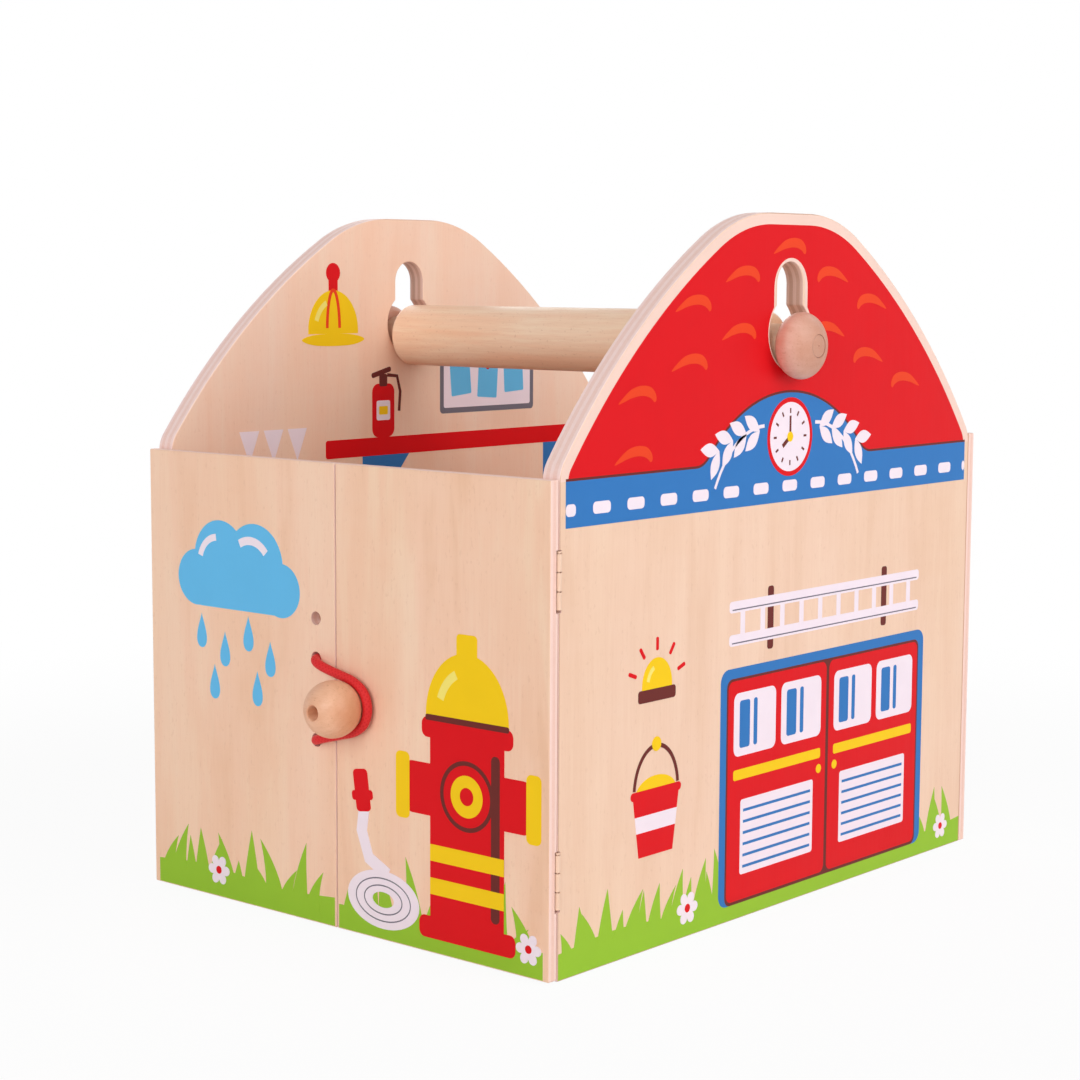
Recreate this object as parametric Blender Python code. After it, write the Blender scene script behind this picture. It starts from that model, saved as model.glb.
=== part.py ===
"""Toy fire station: a plywood carry case with two shaped gables, a turned handle and two front doors.

The case stands on z = 0. Its front is at -Y, its width runs along X and its depth along Y. The origin is
the middle of its footprint. The doors swing on butt hinges at the front corners, an elastic loop on the
left door hooks round a bead on the right one, and the handle lifts in a keyhole in each gable.
"""

from math import atan2, ceil, cos, pi, radians, sin, sqrt, tau

import bmesh
import bpy
from mathutils import Vector

MM = 0.001

# Case
CASE_WIDTH = 171.0 * MM
CASE_DEPTH = 230.0 * MM
CROWN_HEIGHT = 220.0 * MM
DOOR_TOP = 144.0 * MM
BACK_HEIGHT = 146.0 * MM
GABLE_THICKNESS = 6.5 * MM
DOOR_THICKNESS = 3.5 * MM
BACK_THICKNESS = 3.5 * MM
BASE_THICKNESS = 6.0 * MM
ARRIS_RADIUS = 0.4 * MM

# Clearances
TOUCH_GAP = 0.3 * MM
SEAM_GAP = 0.36 * MM
DOOR_FLOOR_GAP = 0.5 * MM
HARDWARE_GAP = 0.2 * MM
CUT_OVERRUN = 3.0 * MM

# Gable outline, from half the flat crown down: three arcs that meet tangent to each other
CROWN_RADIUS = 56.0 * MM
CROWN_FLAT = 10.2 * MM
CROWN_ANGLE = radians(30.5)
SLOPE_ANGLE = radians(53.3)
EAVES_RADIUS = 10.0 * MM

# Keyhole in each gable
KEYHOLE_RADIUS = 11.0 * MM
KEYHOLE_SPAN = 22.0 * MM
SLOT_MARGIN = 15.0 * MM
SLOT_GAP = 0.3 * MM

# Handle
DOWEL_RADIUS = 10.7 * MM
DOWEL_END_LENGTH = 2.2 * MM
DOWEL_END_RISE = 3.0 * MM
NECK_RADIUS = 6.7 * MM
SPIGOT_RADIUS = 3.6 * MM
SPIGOT_END_LENGTH = 0.4 * MM
KNOB_PASS_GAP = 0.5 * MM
KNOB_LENGTH = 10.7 * MM
KNOB_BELLY = 4.2 * MM
KNOB_AXIS_LENGTH = 7.0 * MM

# Closing bead and its screw
BEAD_RADIUS = 8.75 * MM
BEAD_OFFSET = 7.8 * MM
BEAD_HEIGHT = 71.1 * MM
BEAD_MOUTH_RADIUS = 2.2 * MM
BEAD_SEAT_DEPTH = 9.5 * MM
BEAD_SCREW_RADIUS = 1.1 * MM
BEAD_SCREW_HEAD_RADIUS = 1.9 * MM
BEAD_SCREW_HEAD_LENGTH = 1.6 * MM
BEAD_SCREW_COVER = 1.1 * MM

# Elastic loop, its holes and its knots
CORD_RADIUS = 1.45 * MM
CORD_STEP = 2.4 * MM
CORD_HOLE_GAP = 0.7 * MM
CORD_HOLE_INSET = 8.5 * MM
CORD_HOLE_DROP = 12.9 * MM
CORD_HOLE_RISE = 12.5 * MM
SPARE_HOLE_SPACING = 12.4 * MM
KNOT_RADIUS = 3.1 * MM
KNOT_LENGTH = 4.8 * MM
KNOT_FACE_ANGLE = radians(60)
CORD_ROUTE = (
    (-8.5 * MM, -111.5 * MM, 83.6 * MM),
    (-8.5 * MM, -113.6 * MM, 83.6 * MM),
    (-7.4 * MM, -116.3 * MM, 83.4 * MM),
    (-4.4 * MM, -117.9 * MM, 82.6 * MM),
    (0.2 * MM, -117.9 * MM, 81.3 * MM),
    (5.0 * MM, -117.5 * MM, 80.1 * MM),
    (9.8 * MM, -117.3 * MM, 78.8 * MM),
    (14.2 * MM, -117.3 * MM, 75.9 * MM),
    (15.8 * MM, -117.3 * MM, 71.1 * MM),
    (14.2 * MM, -117.3 * MM, 66.3 * MM),
    (10.0 * MM, -117.3 * MM, 63.4 * MM),
    (5.0 * MM, -117.5 * MM, 62.0 * MM),
    (0.2 * MM, -117.9 * MM, 60.7 * MM),
    (-4.4 * MM, -117.9 * MM, 59.4 * MM),
    (-7.4 * MM, -116.3 * MM, 58.5 * MM),
    (-8.5 * MM, -113.6 * MM, 58.2 * MM),
    (-8.5 * MM, -111.5 * MM, 58.2 * MM),
)

# Butt hinges, let into the gable's front edge and the door's back
HINGE_LENGTH = 16.0 * MM
HINGE_WIDTH = 5.2 * MM
HINGE_PLATE = 0.45 * MM
KNUCKLE_RADIUS = 0.85 * MM
KNUCKLE_END_INSET = 0.1 * MM
HINGE_PIN_RADIUS = 0.3 * MM
PIN_HEAD_RADIUS = 0.7 * MM
PIN_HEAD_LENGTH = 0.4 * MM
HINGE_HEIGHT_SHARES = (0.2, 0.8)
KNUCKLE_SHARE = 1 / 3
SCREW_PLACE_SHARES = (-0.28, 0.28)

# Hinge screws
SCREW_RADIUS = 0.45 * MM
SCREW_HEAD_RADIUS = 0.95 * MM
SCREW_COVER = 0.7 * MM

# Brads through the back panel
BRAD_RADIUS = 0.5 * MM
BRAD_HEAD_RADIUS = 1.1 * MM
BRAD_HEAD_LENGTH = 0.5 * MM
BRAD_LENGTH = 14.0 * MM
BRAD_SINK = 0.1 * MM
BRAD_HEIGHT_SHARES = (0.14, 0.5, 0.86)
BRAD_BASE_SHARE = 0.25

# Dowels between base board and gables
DOWEL_PIN_RADIUS = 1.5 * MM
DOWEL_PIN_DEPTH = 4.0 * MM
DOWEL_PIN_LENGTH = 13.0 * MM
DOWEL_PIN_CHAMFER = 0.4 * MM
DOWEL_PIN_SHARE = 0.3

# Facet counts
OUTLINE_STEP = radians(1.6)
KEYHOLE_STEP = radians(6)
ROUND_STEPS = 24
SMALL_STEPS = 14
TINY_STEPS = 10
PROFILE_STEPS = 5
ARRIS_SEGMENTS = 2
SMOOTH_ANGLE = radians(30)

# Places worked out from the sizes above
HALF_WIDTH = CASE_WIDTH / 2
HALF_DEPTH = CASE_DEPTH / 2
DOOR_FRONT = -HALF_DEPTH
DOOR_BACK = DOOR_FRONT + DOOR_THICKNESS
GABLE_FRONT = DOOR_BACK + TOUCH_GAP
BACK_FRONT = HALF_DEPTH - BACK_THICKNESS
GABLE_REAR = BACK_FRONT - TOUCH_GAP
GABLE_INNER = HALF_WIDTH - GABLE_THICKNESS
HINGE_AXIS_Y = DOOR_BACK + TOUCH_GAP / 2
GABLE_MIDDLE = (GABLE_FRONT + GABLE_REAR) / 2
GABLE_HALF = (GABLE_REAR - GABLE_FRONT) / 2
CROWN_REACH = CROWN_FLAT + CROWN_RADIUS * sin(CROWN_ANGLE)
EAVES_REACH = EAVES_RADIUS * (1 - sin(SLOPE_ANGLE))
SLOPE_RADIUS = (GABLE_HALF - CROWN_REACH - EAVES_REACH) / (sin(SLOPE_ANGLE) - sin(CROWN_ANGLE))
SLOT_TOP = CROWN_HEIGHT - SLOT_MARGIN
SLOT_RADIUS = NECK_RADIUS + SLOT_GAP
KEYHOLE_HEIGHT = SLOT_TOP - KEYHOLE_SPAN
NECK_REST = KEYHOLE_HEIGHT - KEYHOLE_RADIUS + SLOT_GAP + NECK_RADIUS
KNOB_RADIUS = KEYHOLE_RADIUS - KNOB_PASS_GAP
BEAD_CENTRE_Y = DOOR_FRONT - TOUCH_GAP - BEAD_RADIUS
CORD_HOLE_HEIGHTS = (BEAD_HEIGHT - CORD_HOLE_DROP, BEAD_HEIGHT + CORD_HOLE_RISE)
SPARE_HOLE_HEIGHT = CORD_HOLE_HEIGHTS[-1] + SPARE_HOLE_SPACING
SCREW_LENGTH = DOOR_THICKNESS - SCREW_COVER
PIN_BORE_RADIUS = HINGE_PIN_RADIUS + HARDWARE_GAP

POINT_ALONG = {
    "X": (0, radians(90), 0),
    "Y": (radians(-90), 0, 0),
    "-Y": (radians(90), 0, 0),
    "-X": (0, radians(-90), 0),
}


def clear_scene():
    for obj in list(bpy.data.objects):
        bpy.data.objects.remove(obj, do_unlink=True)


def make_material(name, colour, roughness, metallic=0.0):
    material = bpy.data.materials.new(name)
    material.use_nodes = True
    shader = material.node_tree.nodes["Principled BSDF"]
    shader.inputs["Base Color"].default_value = (*colour, 1.0)
    shader.inputs["Roughness"].default_value = roughness
    shader.inputs["Metallic"].default_value = metallic
    return material


def make_body(name, position):
    """An empty that stands for a rigid body, on its joint's axis."""
    body = bpy.data.objects.new(name, None)
    bpy.context.collection.objects.link(body)
    body.location = position
    return body


def add_object(name, mesh, body, position, turn=(0, 0, 0)):
    obj = bpy.data.objects.new(name, mesh)
    bpy.context.collection.objects.link(obj)
    obj.parent = body
    obj.location = Vector(position) - body.location
    obj.rotation_euler = turn
    return obj


def as_mesh(name, shape, material=None):
    """Turn a finished bmesh into a mesh with outward faces and smooth round sides."""
    bmesh.ops.recalc_face_normals(shape, faces=shape.faces)
    mesh = bpy.data.meshes.new(name)
    shape.to_mesh(mesh)
    shape.free()
    mesh.shade_smooth()
    mesh.set_sharp_from_angle(angle=SMOOTH_ANGLE)
    if material:
        mesh.materials.append(material)
    return mesh


def add_cutter(name, shape, body, position=(0, 0, 0), turn=(0, 0, 0)):
    cutter = add_object(name, as_mesh(name, shape), body, position, turn)
    cutter.hide_render = True
    cutter.display_type = "WIRE"
    return cutter


def combine(target, tool, operation="DIFFERENCE"):
    step = target.modifiers.new(f"{operation.lower()}_{tool.name}", "BOOLEAN")
    step.operation = operation
    step.solver = "EXACT"
    step.object = tool


def round_arrises(target, radius=ARRIS_RADIUS):
    step = target.modifiers.new("arrises", "BEVEL")
    step.width = radius
    step.segments = ARRIS_SEGMENTS
    step.limit_method = "ANGLE"
    step.angle_limit = SMOOTH_ANGLE


def add_prism(shape, outline, axis, low, high):
    """Add a closed prism: an outline in the plane square to the axis, run from low to high along it."""
    rings = []
    for level in (low, high):
        ring = []
        for a, b in outline:
            place = {"X": (level, a, b), "Y": (a, level, b), "Z": (a, b, level)}[axis]
            ring.append(shape.verts.new(place))
        shape.faces.new(ring)
        rings.append(ring)
    for start in range(len(outline)):
        end = (start + 1) % len(outline)
        shape.faces.new((rings[0][start], rings[0][end], rings[1][end], rings[1][start]))
    return shape


def add_turned(shape, profile, steps, offset=(0, 0, 0)):
    """Add a body turned about its local Z axis from (height, radius) points.

    A profile that starts and ends on the axis makes a solid body. Any other one is closed on itself and
    makes a ring with a bore.
    """
    rings = []
    for height, radius in profile:
        if radius == 0:
            place = Vector((0, 0, height)) + Vector(offset)
            rings.append([shape.verts.new(place)] * steps)
            continue
        ring = []
        for step in range(steps):
            angle = tau * step / steps
            place = Vector((radius * cos(angle), radius * sin(angle), height)) + Vector(offset)
            ring.append(shape.verts.new(place))
        rings.append(ring)
    pairs = list(zip(rings, rings[1:]))
    if profile[0][1] != 0:
        pairs.append((rings[-1], rings[0]))
    for lower, upper in pairs:
        for step in range(steps):
            after = (step + 1) % steps
            corners = []
            for corner in (lower[step], lower[after], upper[after], upper[step]):
                if corner not in corners:
                    corners.append(corner)
            shape.faces.new(corners)
    return shape


def pin_profile(low, high, radius):
    return ((low, 0), (low, radius), (high, radius), (high, 0))


def rectangle(left, right, low, high):
    return ((left, low), (right, low), (right, high), (left, high))


def arc_points(centre, radius, start, end, widest_step):
    """Points on an arc, both ends included."""
    count = max(1, ceil(abs(end - start) / widest_step))
    points = []
    for step in range(count + 1):
        angle = start + (end - start) * step / count
        points.append((centre[0] + radius * cos(angle), centre[1] + radius * sin(angle)))
    return points


def gable_outline():
    """Outline of a gable in (y, z): a flat crown, three tangent arcs down each side, straight walls."""
    arcs = (
        (CROWN_RADIUS, 0.0, CROWN_ANGLE),
        (SLOPE_RADIUS, CROWN_ANGLE, SLOPE_ANGLE),
        (EAVES_RADIUS, SLOPE_ANGLE, radians(90)),
    )
    y, z = CROWN_FLAT, CROWN_HEIGHT
    side = [(y, z)]
    for radius, start, end in arcs:
        centre = (y - radius * sin(start), z - radius * cos(start))
        points = arc_points(centre, radius, radians(90) - start, radians(90) - end, OUTLINE_STEP)
        side += points[1:]
        y, z = points[-1]
    side.append((GABLE_HALF, 0))
    rear = [(GABLE_MIDDLE + y, z) for y, z in side]
    front = [(GABLE_MIDDLE - y, z) for y, z in reversed(side)]
    return rear + front


def keyhole_outline():
    """Round hole with a slot above it, in (y, z)."""
    rise = sqrt(KEYHOLE_RADIUS**2 - SLOT_RADIUS**2)
    corner = atan2(rise, SLOT_RADIUS)
    hole_centre = (GABLE_MIDDLE, KEYHOLE_HEIGHT)
    slot_centre = (GABLE_MIDDLE, SLOT_TOP - SLOT_RADIUS)
    hole = arc_points(hole_centre, KEYHOLE_RADIUS, pi - corner, tau + corner, KEYHOLE_STEP)
    slot = arc_points(slot_centre, SLOT_RADIUS, 0.0, pi, KEYHOLE_STEP)
    return hole + slot


def smooth_route(points, step):
    """Even points along a centripetal Catmull-Rom curve through a cord's route."""
    nodes = [Vector(point) for point in points]
    nodes = [nodes[0] * 2 - nodes[1]] + nodes + [nodes[-1] * 2 - nodes[-2]]
    fine = []
    for p0, p1, p2, p3 in zip(nodes, nodes[1:], nodes[2:], nodes[3:]):
        t1 = sqrt((p1 - p0).length)
        t2 = t1 + sqrt((p2 - p1).length)
        t3 = t2 + sqrt((p3 - p2).length)
        count = 4 * ceil((p2 - p1).length / step)
        for index in range(count):
            t = t1 + (t2 - t1) * index / count
            a1 = p0.lerp(p1, t / t1)
            a2 = p1.lerp(p2, (t - t1) / (t2 - t1))
            a3 = p2.lerp(p3, (t - t2) / (t3 - t2))
            b1 = a1.lerp(a2, t / t2)
            b2 = a2.lerp(a3, (t - t1) / (t3 - t1))
            fine.append(b1.lerp(b2, (t - t1) / (t2 - t1)))
    fine.append(nodes[-2])
    lengths = [0.0]
    for before, after in zip(fine, fine[1:]):
        lengths.append(lengths[-1] + (after - before).length)
    count = round(lengths[-1] / step)
    even = []
    index = 0
    for number in range(count + 1):
        goal = lengths[-1] * number / count
        while index < len(fine) - 2 and lengths[index + 1] < goal:
            index += 1
        share = (goal - lengths[index]) / (lengths[index + 1] - lengths[index])
        even.append(fine[index].lerp(fine[index + 1], share))
    return even


def hinge_heights():
    return [DOOR_FLOOR_GAP + (DOOR_TOP - DOOR_FLOOR_GAP) * share for share in HINGE_HEIGHT_SHARES]


def screw_heights(height):
    return [height + HINGE_LENGTH * share for share in SCREW_PLACE_SHARES]


def make_case(case, ply, edge):
    """Two gables with their keyholes, the base board and the back panel."""
    gables = {}
    for side, sign in (("left", -1), ("right", 1)):
        low, high = sorted((sign * GABLE_INNER, sign * HALF_WIDTH))
        shape = add_prism(bmesh.new(), gable_outline(), "X", low, high)
        gable = add_object(f"{side}_gable", as_mesh(f"{side}_gable", shape, ply), case, (0, 0, 0))
        hole = add_prism(bmesh.new(), keyhole_outline(), "X", low - CUT_OVERRUN, high + CUT_OVERRUN)
        combine(gable, add_cutter(f"{side}_keyhole", hole, case))
        round_arrises(gable)
        gables[side] = gable

    base_half = GABLE_INNER - TOUCH_GAP
    outline = rectangle(-base_half, base_half, 0, BASE_THICKNESS)
    shape = add_prism(bmesh.new(), outline, "Y", GABLE_FRONT, GABLE_REAR)
    base = add_object("base_board", as_mesh("base_board", shape, edge), case, (0, 0, 0))
    round_arrises(base)

    outline = rectangle(-HALF_WIDTH, HALF_WIDTH, 0, BACK_HEIGHT)
    shape = add_prism(bmesh.new(), outline, "Y", BACK_FRONT, HALF_DEPTH)
    back = add_object("back_panel", as_mesh("back_panel", shape, ply), case, (0, 0, 0))
    round_arrises(back)
    return gables, base, back


def join_base(case, gables, base, wood):
    """Wooden dowels, two at each end of the base board, in blind holes with room at both ends."""
    pin = bmesh.new()
    half = DOWEL_PIN_LENGTH / 2
    blunt = DOWEL_PIN_RADIUS - DOWEL_PIN_CHAMFER
    shoulder = half - DOWEL_PIN_CHAMFER
    profile = (
        (-half, 0),
        (-half, blunt),
        (-shoulder, DOWEL_PIN_RADIUS),
        (shoulder, DOWEL_PIN_RADIUS),
        (half, blunt),
        (half, 0),
    )
    add_turned(pin, profile, SMALL_STEPS)
    pin_mesh = as_mesh("base_dowel", pin, wood)
    height = BASE_THICKNESS / 2
    hole_radius = DOWEL_PIN_RADIUS + HARDWARE_GAP
    for side, sign in (("left", -1), ("right", 1)):
        outer = GABLE_INNER + DOWEL_PIN_DEPTH
        middle = outer - half
        holes = bmesh.new()
        for end, place in (("front", -1), ("rear", 1)):
            y = place * CASE_DEPTH * DOWEL_PIN_SHARE
            centre = (sign * middle, y, height)
            add_object(f"base_dowel_{side}_{end}", pin_mesh, case, centre, POINT_ALONG["X"])
            reach = half + HARDWARE_GAP
            add_turned(holes, pin_profile(-reach, reach, hole_radius), SMALL_STEPS, (0, y, 0))
        centre = (sign * middle, 0, height)
        cutter = add_cutter(f"{side}_dowel_holes", holes, case, centre, POINT_ALONG["X"])
        combine(gables[side], cutter)
        combine(base, cutter)


def nail_back(case, gables, base, back, steel):
    """Brads through the back panel into the gables' rear edges and the base board, heads just sunk."""
    head_foot = BRAD_SINK + BRAD_HEAD_LENGTH
    nail = (
        (BRAD_SINK, 0),
        (BRAD_SINK, BRAD_HEAD_RADIUS),
        (head_foot, BRAD_HEAD_RADIUS),
        (head_foot, BRAD_RADIUS),
        (BRAD_LENGTH - BRAD_RADIUS, BRAD_RADIUS),
        (BRAD_LENGTH, 0),
    )
    hole = (
        (-CUT_OVERRUN, 0),
        (-CUT_OVERRUN, BRAD_HEAD_RADIUS + HARDWARE_GAP),
        (head_foot + HARDWARE_GAP, BRAD_HEAD_RADIUS + HARDWARE_GAP),
        (head_foot + HARDWARE_GAP, BRAD_RADIUS + HARDWARE_GAP),
        (BRAD_LENGTH + HARDWARE_GAP, BRAD_RADIUS + HARDWARE_GAP),
        (BRAD_LENGTH + HARDWARE_GAP, 0),
    )
    mesh = as_mesh("brad", add_turned(bmesh.new(), nail, TINY_STEPS), steel)
    gable_x = HALF_WIDTH - GABLE_THICKNESS / 2
    groups = (
        ("left", gables["left"], [(-gable_x, BACK_HEIGHT * share) for share in BRAD_HEIGHT_SHARES]),
        ("right", gables["right"], [(gable_x, BACK_HEIGHT * share) for share in BRAD_HEIGHT_SHARES]),
        ("base", base, [(sign * CASE_WIDTH * BRAD_BASE_SHARE, BASE_THICKNESS / 2) for sign in (-1, 1)]),
    )
    for group, target, places in groups:
        holes = bmesh.new()
        for number, (x, z) in enumerate(places, 1):
            add_object(f"brad_{group}_{number}", mesh, case, (x, HALF_DEPTH, z), POINT_ALONG["-Y"])
            add_turned(holes, hole, TINY_STEPS, (x, z, 0))
        cutter = add_cutter(f"{group}_brad_holes", holes, case, (0, HALF_DEPTH, 0), POINT_ALONG["-Y"])
        combine(back, cutter)
        combine(target, cutter)


def make_doors(bodies, ply):
    doors = {}
    for side, sign in (("left", -1), ("right", 1)):
        left, right = sorted((sign * SEAM_GAP / 2, sign * HALF_WIDTH))
        body = bodies[side]
        outline = rectangle(left, right, DOOR_FLOOR_GAP, DOOR_TOP)
        shape = add_prism(bmesh.new(), outline, "Y", DOOR_FRONT, DOOR_BACK)
        bmesh.ops.translate(shape, verts=shape.verts, vec=-body.location)
        door = add_object(f"{side}_door", as_mesh(f"{side}_door", shape, ply), body, body.location)
        round_arrises(door)
        doors[side] = door
    return doors


def plate_outline(sign, tongues):
    """Hinge plate in (x, z) about the hinge's centre, with a tongue to each of its knuckles."""
    edge = -sign * HINGE_WIDTH
    notch = -sign * (KNUCKLE_RADIUS + TOUCH_GAP)
    root = -sign * (KNUCKLE_RADIUS + PIN_BORE_RADIUS) / 2
    half = HINGE_LENGTH / 2
    points = [(edge, -half), (edge, half), (notch, half)]
    for low, high in reversed(tongues):
        points += [(notch, high), (root, high), (root, low), (notch, low)]
    points.append((notch, -half))
    return list(dict.fromkeys(points))


def make_hinges(bodies, gables, doors, enamel, steel):
    """Four butt hinges: a plate with two knuckles on the case, one with a middle knuckle on the door."""
    half = HINGE_LENGTH / 2
    middle_half = HINGE_LENGTH * KNUCKLE_SHARE / 2
    end_low = middle_half + HARDWARE_GAP
    tongues = {
        "case": ((-half, -end_low), (end_low, half)),
        "door": ((-middle_half, middle_half),),
    }

    pin = (
        (-half, 0),
        (-half, HINGE_PIN_RADIUS),
        (half + HARDWARE_GAP, HINGE_PIN_RADIUS),
        (half + HARDWARE_GAP, PIN_HEAD_RADIUS),
        (half + HARDWARE_GAP + PIN_HEAD_LENGTH, PIN_HEAD_RADIUS),
        (half + HARDWARE_GAP + PIN_HEAD_LENGTH, 0),
    )
    pin_mesh = as_mesh("hinge_pin", add_turned(bmesh.new(), pin, TINY_STEPS), steel)

    screw = (
        (0, 0),
        (0, SCREW_HEAD_RADIUS),
        (HINGE_PLATE, SCREW_RADIUS),
        (SCREW_LENGTH - SCREW_RADIUS, SCREW_RADIUS),
        (SCREW_LENGTH, 0),
    )
    hole = (
        (-CUT_OVERRUN, 0),
        (-CUT_OVERRUN, SCREW_HEAD_RADIUS + HARDWARE_GAP),
        (0, SCREW_HEAD_RADIUS + HARDWARE_GAP),
        (HINGE_PLATE, SCREW_RADIUS + HARDWARE_GAP),
        (SCREW_LENGTH + HARDWARE_GAP, SCREW_RADIUS + HARDWARE_GAP),
        (SCREW_LENGTH + HARDWARE_GAP, 0),
    )
    screw_mesh = as_mesh("hinge_screw", add_turned(bmesh.new(), screw, TINY_STEPS), enamel)

    plate_front = TOUCH_GAP / 2
    seat_depth = plate_front + HINGE_PLATE + TOUCH_GAP
    knuckle_room = KNUCKLE_RADIUS + TOUCH_GAP
    seat_half = half + PIN_HEAD_LENGTH + TOUCH_GAP + HARDWARE_GAP
    for side, sign in (("left", -1), ("right", 1)):
        axis_x = sign * HALF_WIDTH
        screw_x = axis_x - sign * (HINGE_WIDTH + knuckle_room) / 2
        for leaf, facing, target in (("case", 1, gables[side]), ("door", -1, doors[side])):
            body = bodies["case"] if leaf == "case" else bodies[side]
            inner = -sign * (HINGE_WIDTH + TOUCH_GAP)
            outer = sign * CUT_OVERRUN
            seat_outline = (
                (inner, -facing * CUT_OVERRUN),
                (outer, -facing * CUT_OVERRUN),
                (outer, facing * knuckle_room),
                (-sign * knuckle_room, facing * knuckle_room),
                (-sign * knuckle_room, facing * seat_depth),
                (inner, facing * seat_depth),
            )
            seats = bmesh.new()
            for height in hinge_heights():
                add_prism(seats, seat_outline, "Z", height - seat_half, height + seat_half)
            seat_tool = add_cutter(f"{side}_{leaf}_hinge_seats", seats, body, (axis_x, HINGE_AXIS_Y, 0))
            combine(target, seat_tool)

            direction = "Y" if facing == 1 else "-Y"
            face_y = HINGE_AXIS_Y + facing * plate_front
            holes = bmesh.new()
            for height in hinge_heights():
                for screw_z in screw_heights(height):
                    add_turned(holes, hole, TINY_STEPS, (0, -facing * screw_z, 0))
            hole_place = (screw_x, face_y, 0)
            turn = POINT_ALONG[direction]
            hole_tool = add_cutter(f"{side}_{leaf}_screw_holes", holes, body, hole_place, turn)
            combine(target, hole_tool)

            bore = pin_profile(-CUT_OVERRUN, DOOR_TOP, PIN_BORE_RADIUS)
            bores = add_turned(bmesh.new(), bore, TINY_STEPS)
            bore_tool = add_cutter(f"{side}_{leaf}_pin_bore", bores, body, (axis_x, HINGE_AXIS_Y, 0))
            for level, height in zip(("lower", "upper"), hinge_heights()):
                name = f"hinge_{side}_{level}_{leaf}_plate"
                low, high = sorted((facing * plate_front, facing * (plate_front + HINGE_PLATE)))
                shape = add_prism(bmesh.new(), plate_outline(sign, tongues[leaf]), "Y", low, high)
                centre = (axis_x, HINGE_AXIS_Y, height)
                plate = add_object(name, as_mesh(name, shape, enamel), body, centre)
                barrels = bmesh.new()
                for tongue_low, tongue_high in tongues[leaf]:
                    foot = tongue_low + KNUCKLE_END_INSET
                    top = tongue_high - KNUCKLE_END_INSET
                    add_turned(barrels, pin_profile(foot, top, KNUCKLE_RADIUS), SMALL_STEPS)
                combine(plate, add_cutter(f"{name}_knuckles", barrels, body, centre), "UNION")
                combine(plate, bore_tool)
                combine(plate, hole_tool)
                for number, screw_z in enumerate(screw_heights(height), 1):
                    screw_name = f"hinge_{side}_{level}_{leaf}_screw_{number}"
                    place = (screw_x, face_y, screw_z)
                    add_object(screw_name, screw_mesh, body, place, turn)
        for level, height in zip(("lower", "upper"), hinge_heights()):
            centre = (axis_x, HINGE_AXIS_Y, height)
            add_object(f"hinge_{side}_{level}_pin", pin_mesh, bodies["case"], centre)


def make_handle(body, beech):
    """Turned dowel with a neck and a spigot at each end, and a knob on each spigot."""
    shoulder = GABLE_INNER - TOUCH_GAP
    knob_start = HALF_WIDTH + TOUCH_GAP
    knob_end = knob_start + KNOB_LENGTH
    right_half = [(shoulder - DOWEL_END_LENGTH, DOWEL_RADIUS)]
    for step in range(1, PROFILE_STEPS + 1):
        angle = radians(90) * step / PROFILE_STEPS
        along = shoulder - DOWEL_END_LENGTH * (1 - sin(angle))
        right_half.append((along, DOWEL_RADIUS - DOWEL_END_RISE * (1 - cos(angle))))
    right_half += [
        (shoulder, NECK_RADIUS),
        (knob_start - TOUCH_GAP, NECK_RADIUS),
        (knob_start - TOUCH_GAP, SPIGOT_RADIUS),
        (knob_end - SPIGOT_END_LENGTH, SPIGOT_RADIUS),
        (knob_end, SPIGOT_RADIUS - SPIGOT_END_LENGTH),
        (knob_end, 0),
    ]
    profile = [(-along, radius) for along, radius in reversed(right_half)] + right_half
    bar = add_turned(bmesh.new(), profile, ROUND_STEPS)
    place = (0, GABLE_MIDDLE, NECK_REST)
    add_object("handle_bar", as_mesh("handle_bar", bar, beech), body, place, POINT_ALONG["X"])

    bore = SPIGOT_RADIUS + TOUCH_GAP
    knob = [(0, bore)]
    for step in range(2 * PROFILE_STEPS + 1):
        along = KNOB_LENGTH * (1 - cos(pi * step / (2 * PROFILE_STEPS))) / 2
        knob.append((along, KNOB_RADIUS * sqrt(1 - ((along - KNOB_BELLY) / KNOB_AXIS_LENGTH) ** 2)))
    knob.append((KNOB_LENGTH, bore))
    mesh = as_mesh("handle_knob", add_turned(bmesh.new(), knob, ROUND_STEPS), beech)
    for side, sign, direction in (("left", -1, "-X"), ("right", 1, "X")):
        place = (sign * knob_start, GABLE_MIDDLE, NECK_REST)
        add_object(f"handle_knob_{side}", mesh, body, place, POINT_ALONG[direction])


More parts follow.
